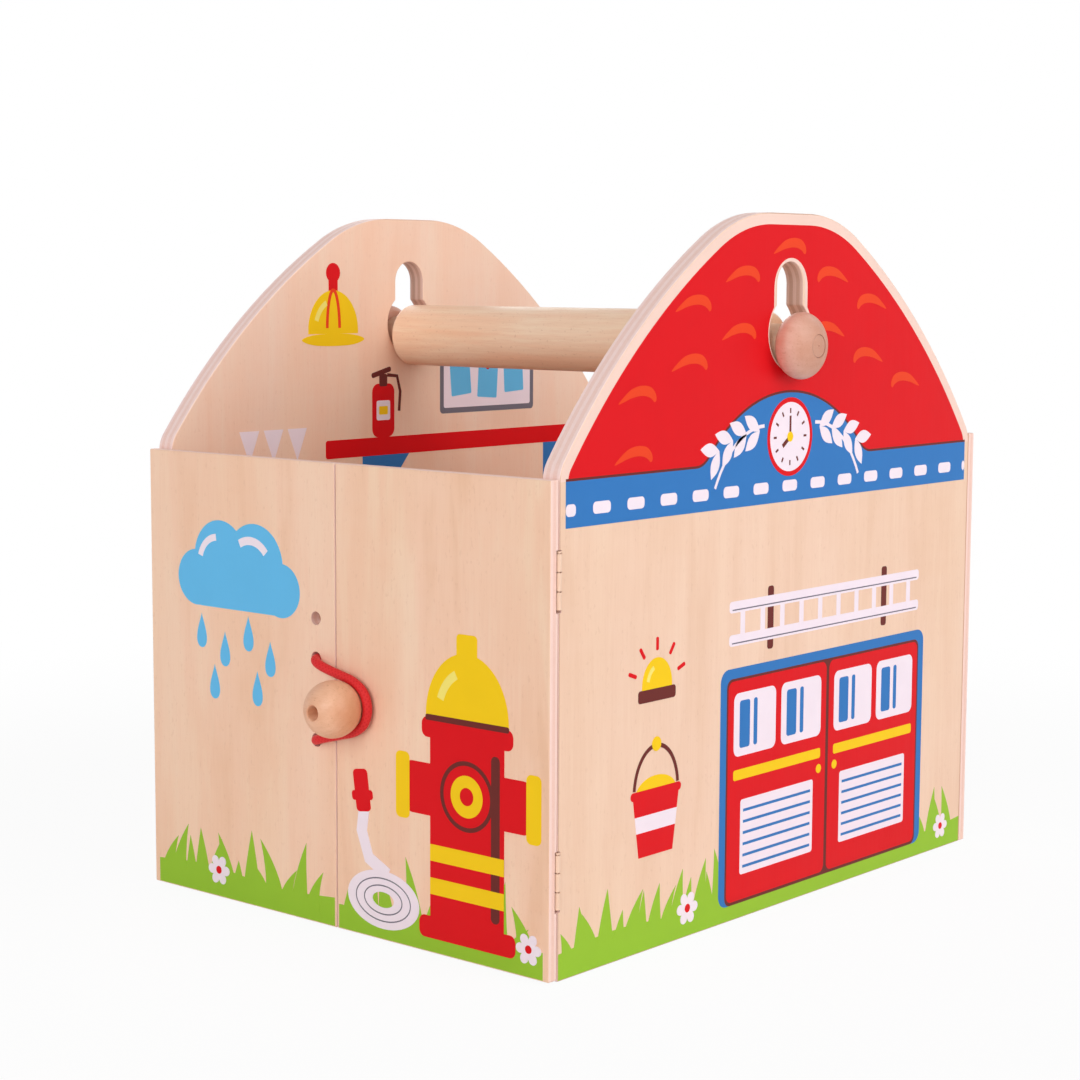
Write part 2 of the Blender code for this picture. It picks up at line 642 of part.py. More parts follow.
def make_bead(body, door, beech, steel):
    """Drilled bead on the right door. Its screw sits deep in the bore, so that the mouth looks open."""
    screw_hole = BEAD_SCREW_RADIUS + TOUCH_GAP
    rear = -sqrt(BEAD_RADIUS**2 - screw_hole**2)
    front = sqrt(BEAD_RADIUS**2 - BEAD_MOUTH_RADIUS**2)
    seat = front - BEAD_SEAT_DEPTH
    profile = [(seat, BEAD_MOUTH_RADIUS), (seat, screw_hole)]
    start = atan2(rear, screw_hole)
    end = atan2(front, BEAD_MOUTH_RADIUS)
    for step in range(2 * PROFILE_STEPS + 1):
        angle = start + (end - start) * step / (2 * PROFILE_STEPS)
        profile.append((BEAD_RADIUS * sin(angle), BEAD_RADIUS * cos(angle)))
    centre = (BEAD_OFFSET, BEAD_CENTRE_Y, BEAD_HEIGHT)
    bead = add_turned(bmesh.new(), profile, ROUND_STEPS)
    add_object("door_bead", as_mesh("door_bead", bead, beech), body, centre, POINT_ALONG["-Y"])

    head_foot = seat + HARDWARE_GAP
    tip = BEAD_CENTRE_Y - DOOR_BACK + BEAD_SCREW_COVER
    screw = (
        (tip, 0),
        (tip + BEAD_SCREW_RADIUS, BEAD_SCREW_RADIUS),
        (head_foot, BEAD_SCREW_RADIUS),
        (head_foot, BEAD_SCREW_HEAD_RADIUS),
        (head_foot + BEAD_SCREW_HEAD_LENGTH, BEAD_SCREW_HEAD_RADIUS),
        (head_foot + BEAD_SCREW_HEAD_LENGTH, 0),
    )
    shape = add_turned(bmesh.new(), screw, SMALL_STEPS)
    add_object("bead_screw", as_mesh("bead_screw", shape, steel), body, centre, POINT_ALONG["-Y"])
    hole = add_turned(bmesh.new(), pin_profile(tip - HARDWARE_GAP, rear, screw_hole), SMALL_STEPS)
    combine(door, add_cutter("bead_screw_hole", hole, body, centre, POINT_ALONG["-Y"]))


def make_loop(body, door, elastic):
    """Elastic cord through two holes in the left door, a knot behind each, and the spare hole above."""
    heights = (*CORD_HOLE_HEIGHTS, SPARE_HOLE_HEIGHT)
    holes = bmesh.new()
    for height in heights:
        bore = pin_profile(-CUT_OVERRUN, DOOR_THICKNESS + CUT_OVERRUN, CORD_RADIUS + CORD_HOLE_GAP)
        add_turned(holes, bore, SMALL_STEPS, (0, -height, 0))
    place = (-CORD_HOLE_INSET, DOOR_FRONT, 0)
    combine(door, add_cutter("cord_holes", holes, body, place, POINT_ALONG["Y"]))

    route = smooth_route(CORD_ROUTE, CORD_STEP)
    curve = bpy.data.curves.new("elastic_loop", "CURVE")
    curve.dimensions = "3D"
    curve.bevel_depth = CORD_RADIUS
    curve.bevel_resolution = 2
    curve.use_fill_caps = True
    spline = curve.splines.new("POLY")
    spline.points.add(len(route) - 1)
    for point, place in zip(spline.points, route):
        point.co = (*(place - body.location), 1)
    curve.materials.append(elastic)
    add_object("elastic_loop", curve, body, body.location)

    profile = [(0, 0)]
    for step in range(PROFILE_STEPS + 1):
        angle = KNOT_FACE_ANGLE * (2 * step / PROFILE_STEPS - 1)
        along = KNOT_LENGTH / 2 * (1 + sin(angle) / sin(KNOT_FACE_ANGLE))
        profile.append((along, KNOT_RADIUS * cos(angle)))
    profile.append((KNOT_LENGTH, 0))
    mesh = as_mesh("loop_knot", add_turned(bmesh.new(), profile, SMALL_STEPS), elastic)
    for name, height in zip(("lower", "upper"), CORD_HOLE_HEIGHTS):
        place = (-CORD_HOLE_INSET, DOOR_BACK + TOUCH_GAP, height)
        add_object(f"loop_knot_{name}", mesh, body, place, POINT_ALONG["Y"])


def main():
    clear_scene()
    ply = make_material("printed_plywood", (0.80, 0.62, 0.45), 0.45)
    edge = make_material("plain_plywood", (0.78, 0.58, 0.40), 0.5)
    beech = make_material("turned_beech", (0.76, 0.48, 0.30), 0.42)
    enamel = make_material("hinge_enamel", (0.82, 0.62, 0.50), 0.4)
    steel = make_material("plated_steel", (0.62, 0.62, 0.60), 0.35, 1.0)
    elastic = make_material("red_elastic", (0.70, 0.03, 0.03), 0.6)

    bodies = {
        "case": make_body("case_body", (0, 0, 0)),
        "left": make_body("left_door_hinge", (-HALF_WIDTH, HINGE_AXIS_Y, 0)),
        "right": make_body("right_door_hinge", (HALF_WIDTH, HINGE_AXIS_Y, 0)),
        "handle": make_body("handle_lift", (0, GABLE_MIDDLE, NECK_REST)),
    }
    gables, base, back = make_case(bodies["case"], ply, edge)
    join_base(bodies["case"], gables, base, beech)
    nail_back(bodies["case"], gables, base, back, steel)
    doors = make_doors(bodies, ply)
    make_hinges(bodies, gables, doors, enamel, steel)
    make_handle(bodies["handle"], beech)
    make_bead(bodies["right"], doors["right"], beech, steel)
    make_loop(bodies["left"], doors["left"], elastic)


main()
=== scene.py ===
"""Looks of the toy fire station, a plywood carry case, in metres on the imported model's own frame.

The panels keep their CAD shapes and get plywood materials. The handle, its knobs, the closing bead, the
elastic loop and its knots are remodelled more finely. The printing is a set of thin closed slabs, one
piece for each ink and coat of each panel, drawn in millimetres on the panel's own face.
"""

import bpy
import numpy as np
from mathutils import Matrix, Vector
from mathutils.geometry import tessellate_polygon


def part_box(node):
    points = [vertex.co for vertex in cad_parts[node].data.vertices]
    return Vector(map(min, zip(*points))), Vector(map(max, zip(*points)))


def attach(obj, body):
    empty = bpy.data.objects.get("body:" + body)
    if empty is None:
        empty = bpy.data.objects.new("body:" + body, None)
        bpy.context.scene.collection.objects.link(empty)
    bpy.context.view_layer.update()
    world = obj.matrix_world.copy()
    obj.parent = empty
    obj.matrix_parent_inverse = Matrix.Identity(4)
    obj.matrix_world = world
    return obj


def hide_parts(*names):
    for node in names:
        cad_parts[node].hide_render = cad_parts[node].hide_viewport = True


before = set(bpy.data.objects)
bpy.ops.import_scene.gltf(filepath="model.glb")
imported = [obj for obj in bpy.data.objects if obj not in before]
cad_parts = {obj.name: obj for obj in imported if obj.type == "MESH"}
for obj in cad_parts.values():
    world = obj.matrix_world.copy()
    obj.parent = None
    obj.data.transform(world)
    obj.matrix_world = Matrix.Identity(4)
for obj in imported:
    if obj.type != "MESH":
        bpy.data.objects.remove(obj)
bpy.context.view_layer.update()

MM = 0.001
UP = np.array((0.0, 0.0, 1.0))

# Camera, solved from the corners of the case in the photograph
PHOTO_PIXELS = 1080
FOCAL_PIXELS = 2316.4
SENSOR_WIDTH = 36.0
CAMERA_PLACE = np.array((0.49929, -0.60270, 0.20073))
CAMERA_AZIMUTH = np.radians(40.58)
CAMERA_ELEVATION = np.radians(6.54)
CAMERA_ROLL = np.radians(0.25)
CAMERA_NEAR = 0.01

# Light: one strength for what lights the object, and white for what the camera sees behind it
WORLD_STRENGTH = 0.30
BACKDROP_STRENGTH = 1.0
FLOOR_SIZE = 6.0
FLOOR_DROP = 0.1 * MM
FLOOR_WHITE_SHARE = 0.93
FLOOR_SHADOW_REACH = (0.22, 0.55)
LAMPS = (
    # name, place, aim, size, power
    ("front_softbox", (0.50, -1.95, 0.75), (0.0, -0.05, 0.08), 1.3, 18.9),
    ("right_softbox", (1.82, 0.30, 1.00), (0.0, 0.0, 0.12), 1.6, 24.4),
    ("left_fill", (-1.80, 1.00, 0.60), (0.0, 0.0, 0.10), 1.3, 14.0),
)

# Elastic loop: the part's own route, hole to hole round the bead
CORD_RADIUS = 1.45 * MM
CORD_ROUTE = MM * np.array((
    (-8.5, -111.5, 83.6),
    (-8.5, -113.6, 83.6),
    (-7.4, -116.3, 83.4),
    (-4.4, -117.9, 82.6),
    (0.2, -117.9, 81.3),
    (5.0, -117.5, 80.1),
    (9.8, -117.3, 78.8),
    (14.2, -117.3, 75.9),
    (15.8, -117.3, 71.1),
    (14.2, -117.3, 66.3),
    (10.0, -117.3, 63.4),
    (5.0, -117.5, 62.0),
    (0.2, -117.9, 60.7),
    (-4.4, -117.9, 59.4),
    (-7.4, -116.3, 58.5),
    (-8.5, -113.6, 58.2),
    (-8.5, -111.5, 58.2),
))
CORD_STEP = 0.5 * MM
CORD_SIDES = 20
LOOP_MIDDLE = MM * np.array((3.5, -119.0, 71.2))
KNOT_CORD_RADIUS = 1.15 * MM
KNOT_SIDES = 14
KNOT_POINTS = 90
WEAVE_PITCH = 1.3 * MM
BRAID_CROSSINGS = 6.0

# Places of the panels' faces
LEFT_OUTSIDE, LEFT_INSIDE = (corner.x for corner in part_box("left_gable"))
RIGHT_INSIDE, RIGHT_OUTSIDE = (corner.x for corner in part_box("right_gable"))
FRONT_OUTSIDE, FRONT_INSIDE = (corner.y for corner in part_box("left_door"))
BACK_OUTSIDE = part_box("back_panel")[1].y

# Outline of a gable, in millimetres: a flat crown and three arcs that meet tangent to each other
GABLE_HALF = (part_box("right_gable")[1].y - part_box("right_gable")[0].y) / 2 / MM
GABLE_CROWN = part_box("right_gable")[1].z / MM
CROWN_FLAT = 10.2
CROWN_RADIUS = 56.0
CROWN_ANGLE = np.radians(30.5)
SLOPE_ANGLE = np.radians(53.3)
EAVES_RADIUS = 10.0

# Keyhole and the bare rim round it, in millimetres: shift, top of the slot, radius of slot and of round
KEYHOLE = (0.0, 205.0, 7.9, 11.0)
KEYHOLE_RIM = (0.4, 206.2, 9.1, 12.0)
ROUND_HEIGHT = 183.0
KNOB_HEIGHT = 179.0

# Printing, in millimetres: how far a slab goes into the wood, its lowest lift, and the steps by which a
# layer lies over another and the shapes of one layer over each other
INK_DEPTH = 0.05
INK_LIFT = 0.03
LAYER_STEP = 0.025
SHAPE_STEP = 0.0015
SHAPE_STEPS = 13
ROOF_MARGIN = 3.6
ROOF_FOOT = 143.2
FASCIA_FOOT = 130.0
EDGE_MARGIN = 0.35

# Wood: tints tell one piece from another, and the left gable's is raised as painted light on its inner
# face; PALEST keeps the brightest veneer off full white
GABLE_TINT = (0.97, 0.96, 0.95)
# painted light: the same plywood as the right gable, made lighter so that its inner face looks lit
LEFT_GABLE_LIT_TINT = (1.10, 1.06, 1.09)
GABLE_EDGE_TINT = (0.99, 0.93, 0.96)
DOOR_TINT = (1.05, 0.98, 0.94)
DOOR_EDGE_TINT = (0.97, 0.86, 0.84)
# Painted shade for the walls of a gable's keyhole recess
KEYHOLE_SHADE_TINT = (0.84, 0.76, 0.68, 1.0)
DOWEL_TINT = (1.12, 1.17, 1.09)
KNOB_TINT = (0.78, 0.67, 0.66)
BEAD_TINT = (0.96, 0.81, 0.66)
PALEST = 0.96
# Width of the painted seam shade along a panel's straight borders
SEAM_SHADE_WIDTH = 0.6 * MM
KEYHOLE_MIDDLE = (0.0, 0.0, 190.0 * MM)
KEYHOLE_REACH = 22.0 * MM
RING_RATE = 2800.0
RING_WAVE = 3.0

# Turned pieces: sides of a full turn, and the angle from which an edge shows as sharp
TURNED_SIDES = 96
SHARP_ANGLE = np.radians(50)

INKS = {
    "red": (223, 13, 24),
    "orange": (238, 68, 30),
    "blue": (52, 120, 190),
    "light_blue": (104, 190, 238),
    "white": (247, 232, 242),
    "yellow": (250, 206, 22),
    "pale_yellow": (252, 232, 120),
    "green": (152, 196, 52),
    "maroon": (108, 42, 38),
    "grey": (116, 112, 124),
    "sanded": (246, 213, 199),
}


def linear(colour, tint=1.0):
    """Screen colour out of 255 as a linear one, by the sRGB curve, times a tint and at most PALEST."""
    share = np.array(colour, float) / 255
    value = np.where(share <= 0.04045, share / 12.92, ((share + 0.055) / 1.055) ** 2.4) * tint
    return (*np.clip(value, 0, PALEST), 1.0)


def unit(vectors):
    """Vectors brought to length 1."""
    return vectors / np.linalg.norm(vectors, axis=-1, keepdims=True)


def corners(node):
    """Low and high corner of a CAD node's box, as arrays."""
    return [np.array(corner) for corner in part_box(node)]


def add_object(name, data, *columns):
    """New object in the scene. Columns, if given, are its X, Y and Z directions and its place."""
    item = bpy.data.objects.new(name, data)
    bpy.context.scene.collection.objects.link(item)
    if columns:
        matrix = np.eye(4)
        matrix[:3] = np.column_stack(columns)
        item.matrix_world = Matrix(matrix.tolist())
    return item


def add_camera():
    """Camera of the photograph: turned by its azimuth, tipped down by its elevation and rolled."""
    data = bpy.data.cameras.new("photo_camera")
    data.sensor_width = SENSOR_WIDTH
    data.lens = FOCAL_PIXELS * SENSOR_WIDTH / PHOTO_PIXELS
    data.clip_start = CAMERA_NEAR
    across = np.array((np.cos(CAMERA_AZIMUTH), np.sin(CAMERA_AZIMUTH), 0.0))
    forward = np.cross(UP, across) * np.cos(CAMERA_ELEVATION) - UP * np.sin(CAMERA_ELEVATION)
    up = np.cross(across, forward)
    rolled_across = across * np.cos(CAMERA_ROLL) + up * np.sin(CAMERA_ROLL)
    rolled_up = up * np.cos(CAMERA_ROLL) - across * np.sin(CAMERA_ROLL)
    camera = add_object("photo_camera", data, rolled_across, rolled_up, -forward, CAMERA_PLACE)
    bpy.context.scene.camera = camera


class Shader:
    """Short way to add nodes to one node tree: each call makes a node, sets it and joins its inputs.

    An input goes by its name, with underscores for spaces, or by an underscore and its number.
    """

    def __init__(self, tree):
        self.tree = tree

    def join(self, socket, value):
        if isinstance(value, bpy.types.NodeSocket):
            self.tree.links.new(value, socket)
        else:
            socket.default_value = value

    def add(self, kind, settings=None, **inputs):
        node = self.tree.nodes.new(kind)
        for name, value in (settings or {}).items():
            setattr(node, name, value)
        for name, value in inputs.items():
            key = int(name[1:]) if name[0] == "_" else name.replace("_", " ")
            self.join(node.inputs[key], value)
        return node

    def group(self, tree, **inputs):
        return self.add("ShaderNodeGroup", {"node_tree": tree}, **inputs).outputs

    def where(self, kind="Object"):
        return self.add("ShaderNodeTexCoord").outputs[kind]

    def parts(self, vector):
        return self.add("ShaderNodeSeparateXYZ", Vector=vector).outputs

    def facing(self, axis):
        """Size of the normal's part along an axis."""
        return self.math("ABSOLUTE", self.parts(self.where("Normal"))[axis])

    def math(self, operation, first, second=0.0):
        return self.add("ShaderNodeMath", {"operation": operation}, _0=first, _1=second).outputs[0]

    def times(self, first, second):
        return self.math("MULTIPLY", first, second)

    def scaled(self, vector, factors):
        settings = {"operation": "MULTIPLY"}
        return self.add("ShaderNodeVectorMath", settings, _0=vector, _1=factors).outputs[0]

    def noise(self, vector, scale=1.0, detail=2.0, distortion=0.0):
        shape = {"Scale": scale, "Detail": detail, "Distortion": distortion}
        return self.add("ShaderNodeTexNoise", Vector=vector, **shape).outputs["Fac"]

    def ranged(self, value, low, high, to_low=0.0, to_high=1.0, curve="SMOOTHSTEP"):
        settings = {"interpolation_type": curve}
        inputs = {"_0": value, "_1": low, "_2": high, "_3": to_low, "_4": to_high}
        return self.add("ShaderNodeMapRange", settings, **inputs).outputs[0]

    def mixed(self, share, first, second, blend="MIX"):
        settings = {"data_type": "RGBA", "blend_type": blend}
        return self.add("ShaderNodeMix", settings, _0=share, _6=first, _7=second).outputs[2]

    def between(self, share, first, second, tint=1.0):
        """Mix of two screen colours."""
        return self.mixed(share, linear(first, tint), linear(second, tint))

    def stained(self, colour, tint, stains):
        """Colour under stains laid one on another, each a (share, screen colour)."""
        for share, stain in stains:
            colour = self.mixed(share, colour, linear(stain, tint))
        return colour

    def bumped(self, height, distance, strength=0.5):
        return self.add("ShaderNodeBump", Height=height, Distance=distance, Strength=strength).outputs[0]


class Finish(Shader):
    """Nodes of a new material. Its done call sets the Principled shader and gives the material."""

    def __init__(self, name):
        self.material = bpy.data.materials.new(name)
        self.material.use_nodes = True
        super().__init__(self.material.node_tree)
        self.surface = self.tree.nodes["Principled BSDF"]

    def done(self, **inputs):
        for name, value in inputs.items():
            self.join(self.surface.inputs[name.replace("_", " ")], value)
        return self.material


def new_group(name, inputs, outputs):
    """Empty shader node group with float sockets, but a vector for an input without a default."""
    tree = bpy.data.node_groups.new(name, "ShaderNodeTree")
    for label, default in inputs.items():
        kind = "NodeSocketVector" if default is None else "NodeSocketFloat"
        socket = tree.interface.new_socket(label, in_out="INPUT", socket_type=kind)
        if default is not None:
            socket.default_value = default
    for label in outputs:
        tree.interface.new_socket(label, in_out="OUTPUT", socket_type="NodeSocketFloat")
    shader = Shader(tree)
    return shader, shader.add("NodeGroupInput").outputs, shader.add("NodeGroupOutput").inputs


def make_wood_figure():
    """Group: the marks of a pale close-grained wood, grain along Z, from a vector in metres.

    Each mark is noise stretched along the grain. Bands are wide and soft, Fibres thin and long, Flecks
    the tips of a short noise cut off low, Streaks those of a longer one, and Mottle lies across.
    """
    inputs = {"Vector": None, "Band Width": 0.014, "Fibre Width": 0.0006, "Length": 0.09}
    marks = ("Clouds", "Bands", "Fibres", "Flecks", "Streaks", "Mottle")
    shader, given, result = new_group("wood_figure", inputs, marks)

    def stretched(width, length, detail, distortion=0.0):
        across = shader.math("DIVIDE", 1.0, width)
        along = shader.math("DIVIDE", 1.0, length)
        scale = shader.add("ShaderNodeCombineXYZ", X=across, Y=across, Z=along).outputs[0]
        return shader.noise(shader.scaled(given["Vector"], scale), detail=detail, distortion=distortion)

    wide, thin, long = given["Band Width"], given["Fibre Width"], given["Length"]
    clouds = stretched(shader.times(wide, 3.4), shader.times(long, 2.2), 2.0, 0.8)
    bands = stretched(wide, long, 3.0, 0.6)
    flecks = stretched(shader.times(thin, 1.3), shader.times(long, 0.022), 1.0)
    streaks = stretched(shader.times(thin, 3.2), shader.times(long, 0.26), 1.0)
    shader.join(result["Clouds"], shader.ranged(clouds, 0.30, 0.70))
    shader.join(result["Bands"], shader.ranged(bands, 0.25, 0.75))
    shader.join(result["Fibres"], stretched(thin, shader.times(long, 0.17), 2.0))
    shader.join(result["Flecks"], shader.ranged(flecks, 0.64, 0.76))
    shader.join(result["Streaks"], shader.ranged(streaks, 0.56, 0.74))
    shader.join(result["Mottle"], stretched(shader.times(wide, 1.2), shader.times(wide, 0.35), 1.0))
    return shader.tree


def make_ply_edge():
    """Group: the layers in a plywood edge from the depth through it, 0 to 1.

    Depth times the number of plies gives the ply. Its fraction near a whole number is a glue line, and
    every other ply shows end grain.
    """
    inputs = {"Depth": 0.5, "Plies": 5.0, "Glue Width": 0.06}
    shader, given, result = new_group("ply_edge", inputs, ("Glue", "End Grain"))
    place = shader.times(given["Depth"], given["Plies"])
    off_middle = shader.math("ABSOLUTE", shader.math("SUBTRACT", shader.math("FRACT", place), 0.5))
    start = shader.math("SUBTRACT", 0.5, given["Glue Width"])
    number = shader.math("MODULO", shader.math("FLOOR", place), 2.0)
    shader.join(result["Glue"], shader.ranged(off_middle, start, 0.5))
    shader.join(result["End Grain"], shader.math("ROUND", number))
    return shader.tree


def near_border(shader, parts, box, thin_axis):
    """Mask of painted seam shade: 1 where a point lies on its panel's straight border, 0 from the shade's
    width inwards.
    """
    nearest = 1.0
    for axis in range(3):
        if axis != thin_axis:
            from_low = shader.math("SUBTRACT", parts[axis], box[0][axis])
            from_high = shader.math("SUBTRACT", box[1][axis], parts[axis])
            nearest = shader.math("MINIMUM", nearest, shader.math("MINIMUM", from_low, from_high))
    return shader.ranged(nearest, 0.0, SEAM_SHADE_WIDTH, 1.0, 0.0)


def shaded_keyhole_wall(shader, where, edge, end_grain):
    """Edge colour with painted shade of the keyhole's recess: darker, and with plainer plies, within reach
    of the keyhole's middle.
    """
    flat = shader.scaled(where, (0.0, 1.0, 1.0))
    away = shader.add("ShaderNodeVectorMath", {"operation": "DISTANCE"}, _0=flat, _1=KEYHOLE_MIDDLE)
    cut = shader.ranged(away.outputs["Value"], KEYHOLE_REACH, KEYHOLE_REACH + MM, 1.0, 0.0)
    # painted shade of the recess, then browner alternate plies
    darker = shader.mixed(1.0, edge, KEYHOLE_SHADE_TINT, "MULTIPLY")
    darker = shader.mixed(shader.times(end_grain, 0.25), darker, linear((156, 118, 92)))
    return shader.mixed(cut, edge, darker)


def plywood(name, box, thin_axis, plies, tint, edge_tint, seam_shade, flame, offset, grain):
    """Lacquered plywood for one panel: veneer figure on its faces, layers on its edges.

    A point belongs to an edge where its normal lies across the thin axis of the panel's box. Flame is the
    share of the lightest and darkest bands of the veneer. A thin darker line along the panel's straight
    borders is painted shade of the seams between panels, of a strength given by the seam shade argument,
    and the walls round a gable's keyhole get painted shade of that recess.
    """
    shader = Finish(name)
    where = shader.where()
    vector = shader.add("ShaderNodeMapping", Vector=where, Location=offset, Rotation=grain).outputs[0]
    figure = shader.group(WOOD_FIGURE, Vector=vector)
    parts = shader.parts(where)
    border = near_border(shader, parts, box, thin_axis)
    warm = shader.between(figure["Clouds"], (240, 201, 173), (243, 206, 181), tint)
    pale = shader.between(figure["Clouds"], (243, 207, 180), (247, 212, 189), tint)
    face = shader.stained(shader.mixed(figure["Bands"], warm, pale), tint, (
        (shader.ranged(figure["Bands"], 0.45, 0.95, 0.0, flame), (253, 224, 198)),
        (shader.ranged(figure["Bands"], 0.0, 0.35, flame, 0.0), (228, 186, 152)),
        (shader.ranged(figure["Mottle"], 0.3, 0.8, 0.0, 0.08), (252, 222, 204)),
        (shader.ranged(figure["Fibres"], 0.38, 0.78, 0.0, 0.13), (226, 182, 152)),
        (shader.times(figure["Streaks"], 0.10), (254, 226, 204)),
        (shader.times(figure["Flecks"], 0.16), (206, 158, 126)),
        # painted shade of the seams where this panel meets others, along its straight borders
        (shader.times(border, seam_shade), (172, 128, 100)),
    ))

    depth = shader.ranged(parts[thin_axis], box[0][thin_axis], box[1][thin_axis], curve="LINEAR")
    layers = shader.group(PLY_EDGE, Depth=depth, Plies=float(plies))
    speckle = shader.noise(where, scale=2600.0, detail=1.0)
    streak = shader.noise(shader.scaled(where, (900.0, 900.0, 60.0)))
    end_grain = shader.between(speckle, (240, 206, 190), (250, 224, 213), edge_tint)
    edge = shader.mixed(layers["End Grain"], linear((251, 228, 219), edge_tint), end_grain)
    edge = shader.stained(edge, edge_tint, (
        (shader.ranged(streak, 0.4, 0.8, 0.0, 0.24), (238, 204, 184)),
        (shader.times(layers["Glue"], 0.13), (208, 166, 142)),
    ))
    # gables get painted shade on the walls of their keyhole
    if thin_axis == 0:
        edge = shaded_keyhole_wall(shader, where, edge, layers["End Grain"])

    is_edge = shader.ranged(shader.facing(thin_axis), 0.55, 0.75, 1.0, 0.0)
    rough = shader.ranged(figure["Fibres"], 0.2, 0.8, 0.40, 0.52)
    grainy = shader.math("ADD", shader.times(figure["Fibres"], 0.6), figure["Flecks"])
    return shader.done(
        Base_Color=shader.mixed(is_edge, face, edge),
        Roughness=shader.math("ADD", rough, shader.times(is_edge, 0.12)),
        Normal=shader.bumped(grainy, 0.00004),
        Specular_IOR_Level=0.35,
    )


def turned_wood(name, pith, tint, end_from=1.0, end_tint=(1.0, 1.0, 1.0)):
    """Turned beech, grain along X: rings round a pith line, thin fibres and short dark rays.

    Beyond end_from from the middle, along X, its ends take another tint.
    """
    shader = Finish(name)
    where = shader.where()
    along = {"Location": pith, "Rotation": (0, np.pi / 2, 0)}
    turned = shader.add("ShaderNodeMapping", Vector=where, **along).outputs[0]
    widths = {"Band_Width": 0.006, "Fibre_Width": 0.0005, "Length": 0.05}
    figure = shader.group(WOOD_FIGURE, Vector=turned, **widths)
    squares = [shader.math("POWER", part, 2.0) for part in shader.parts(turned)[:2]]
    radius = shader.math("SQRT", shader.math("ADD", *squares))
    wavy = shader.math("ADD", shader.times(radius, RING_RATE), shader.times(figure["Bands"], RING_WAVE))
    rings = shader.ranged(shader.math("SINE", wavy), -1.0, 1.0)
    colour = shader.between(figure["Bands"], (236, 190, 166), (246, 208, 188), tint)
    colour = shader.stained(colour, tint, (
        (shader.times(rings, 0.10), (214, 162, 134)),
        (shader.ranged(figure["Fibres"], 0.4, 0.8, 0.0, 0.28), (218, 168, 140)),
        (shader.times(figure["Flecks"], 0.28), (184, 130, 102)),
        (shader.ranged(shader.facing(0), 0.55, 1.0, 0.0, 0.55), (212, 152, 118)),
    ))
    out = shader.math("ABSOLUTE", shader.parts(where)["X"])
    at_end = shader.ranged(out, end_from, end_from + MM)
    ends = shader.mixed(at_end, (1, 1, 1, 1), (*end_tint, 1))
    return shader.done(
        Base_Color=shader.mixed(1.0, colour, ends, "MULTIPLY"),
        Roughness=shader.ranged(figure["Fibres"], 0.2, 0.8, 0.34, 0.48),
        Normal=shader.bumped(figure["Fibres"], 0.00003),
        Specular_IOR_Level=0.4,
    )


def printing_ink(name, colour):
    """Screen ink on lacquered wood: one colour, a little thinner along the fibres below it."""
    shader = Finish(f"{name}_ink")
    where = shader.where()
    figure = shader.group(WOOD_FIGURE, Vector=where)
    thin = shader.ranged(figure["Fibres"], 0.45, 0.85, 0.0, 0.30)
    cloud = shader.ranged(shader.noise(where, scale=70.0, detail=3.0), 0.3, 0.8, 0.0, 0.25)
    darker = np.array(colour) * 0.95
    paler = darker + 0.05 * np.array((246, 211, 184))
    return shader.done(
        Base_Color=shader.stained(linear(colour), 1.0, ((thin, paler), (cloud, darker))),
        Roughness=shader.ranged(figure["Fibres"], 0.2, 0.8, 0.36, 0.48),
        Normal=shader.bumped(figure["Fibres"], 0.00002, 0.4),
        Specular_IOR_Level=0.12,
    )


def elastic_weave():
    """Red braided elastic: crossed diagonal ridges from the piece's own UV map, and loose fuzz."""
    shader = Finish("red_elastic_weave")
    place = shader.parts(shader.add("ShaderNodeUVMap", {"uv_map": "along_and_around"}).outputs[0])
    skew = shader.times(place["Y"], BRAID_CROSSINGS)
    ridges = [
        shader.math("SINE", shader.times(shader.math(operation, place["X"], skew), 2 * np.pi))
        for operation in ("ADD", "SUBTRACT")
    ]
    weave = shader.math("ADD", shader.times(shader.math("MAXIMUM", *ridges), 0.5), 0.5)
    fuzz = shader.noise(shader.where(), scale=5200.0)
    colour = shader.between(weave, (208, 18, 24), (222, 24, 28))
    height = shader.math("ADD", weave, shader.times(fuzz, 0.4))
    return shader.done(
        Base_Color=shader.stained(colour, 1.0, ((shader.ranged(fuzz, 0.5, 0.8, 0.0, 0.12), (232, 50, 46)),)),
        Roughness=shader.ranged(weave, 0.0, 1.0, 0.85, 0.62),
        Normal=shader.bumped(height, 0.00005, 0.4),
        Sheen_Weight=0.05,
    )


def hinge_enamel():
    """Baked enamel in the colour of the wood, with a fine orange-peel surface."""
    shader = Finish("hinge_enamel_finish")
    where = shader.where()
    peel = shader.noise(where, scale=1600.0)
    return shader.done(
        Base_Color=shader.between(shader.noise(where, scale=160.0), (232, 194, 168), (242, 208, 184)),
        Roughness=shader.ranged(peel, 0.3, 0.7, 0.36, 0.46),
        Normal=shader.bumped(peel, 0.00002, 0.4),
        Specular_IOR_Level=0.4,
    )


def plated_steel():
    """Plated steel of screws and brads: fine scratches along Z, and dull spots."""
    shader = Finish("plated_steel_finish")
    where = shader.where()
    scratch = shader.noise(shader.scaled(where, (9000.0, 9000.0, 500.0)), detail=3.0)
    spots = shader.ranged(shader.noise(where, scale=700.0, detail=3.0), 0.45, 0.75)
    return shader.done(
        Base_Color=shader.between(spots, (200, 200, 198), (164, 164, 162)),
        Metallic=1.0,
        Roughness=shader.ranged(scratch, 0.3, 0.7, 0.26, 0.44),
        Normal=shader.bumped(scratch, 0.00001),
    )


def link_mesh(name, vertices, faces, smooth, material, body):
    """New piece from vertex and face arrays, riding on a body."""
    mesh = bpy.data.meshes.new(name)
    mesh.from_pydata(np.asarray(vertices, float).tolist(), [], faces)
    mesh.polygons.foreach_set("use_smooth", np.full(len(mesh.polygons), smooth))
    mesh.materials.append(material)
    mesh.validate()
    piece = add_object(name, mesh)
    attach(piece, body)
    return piece


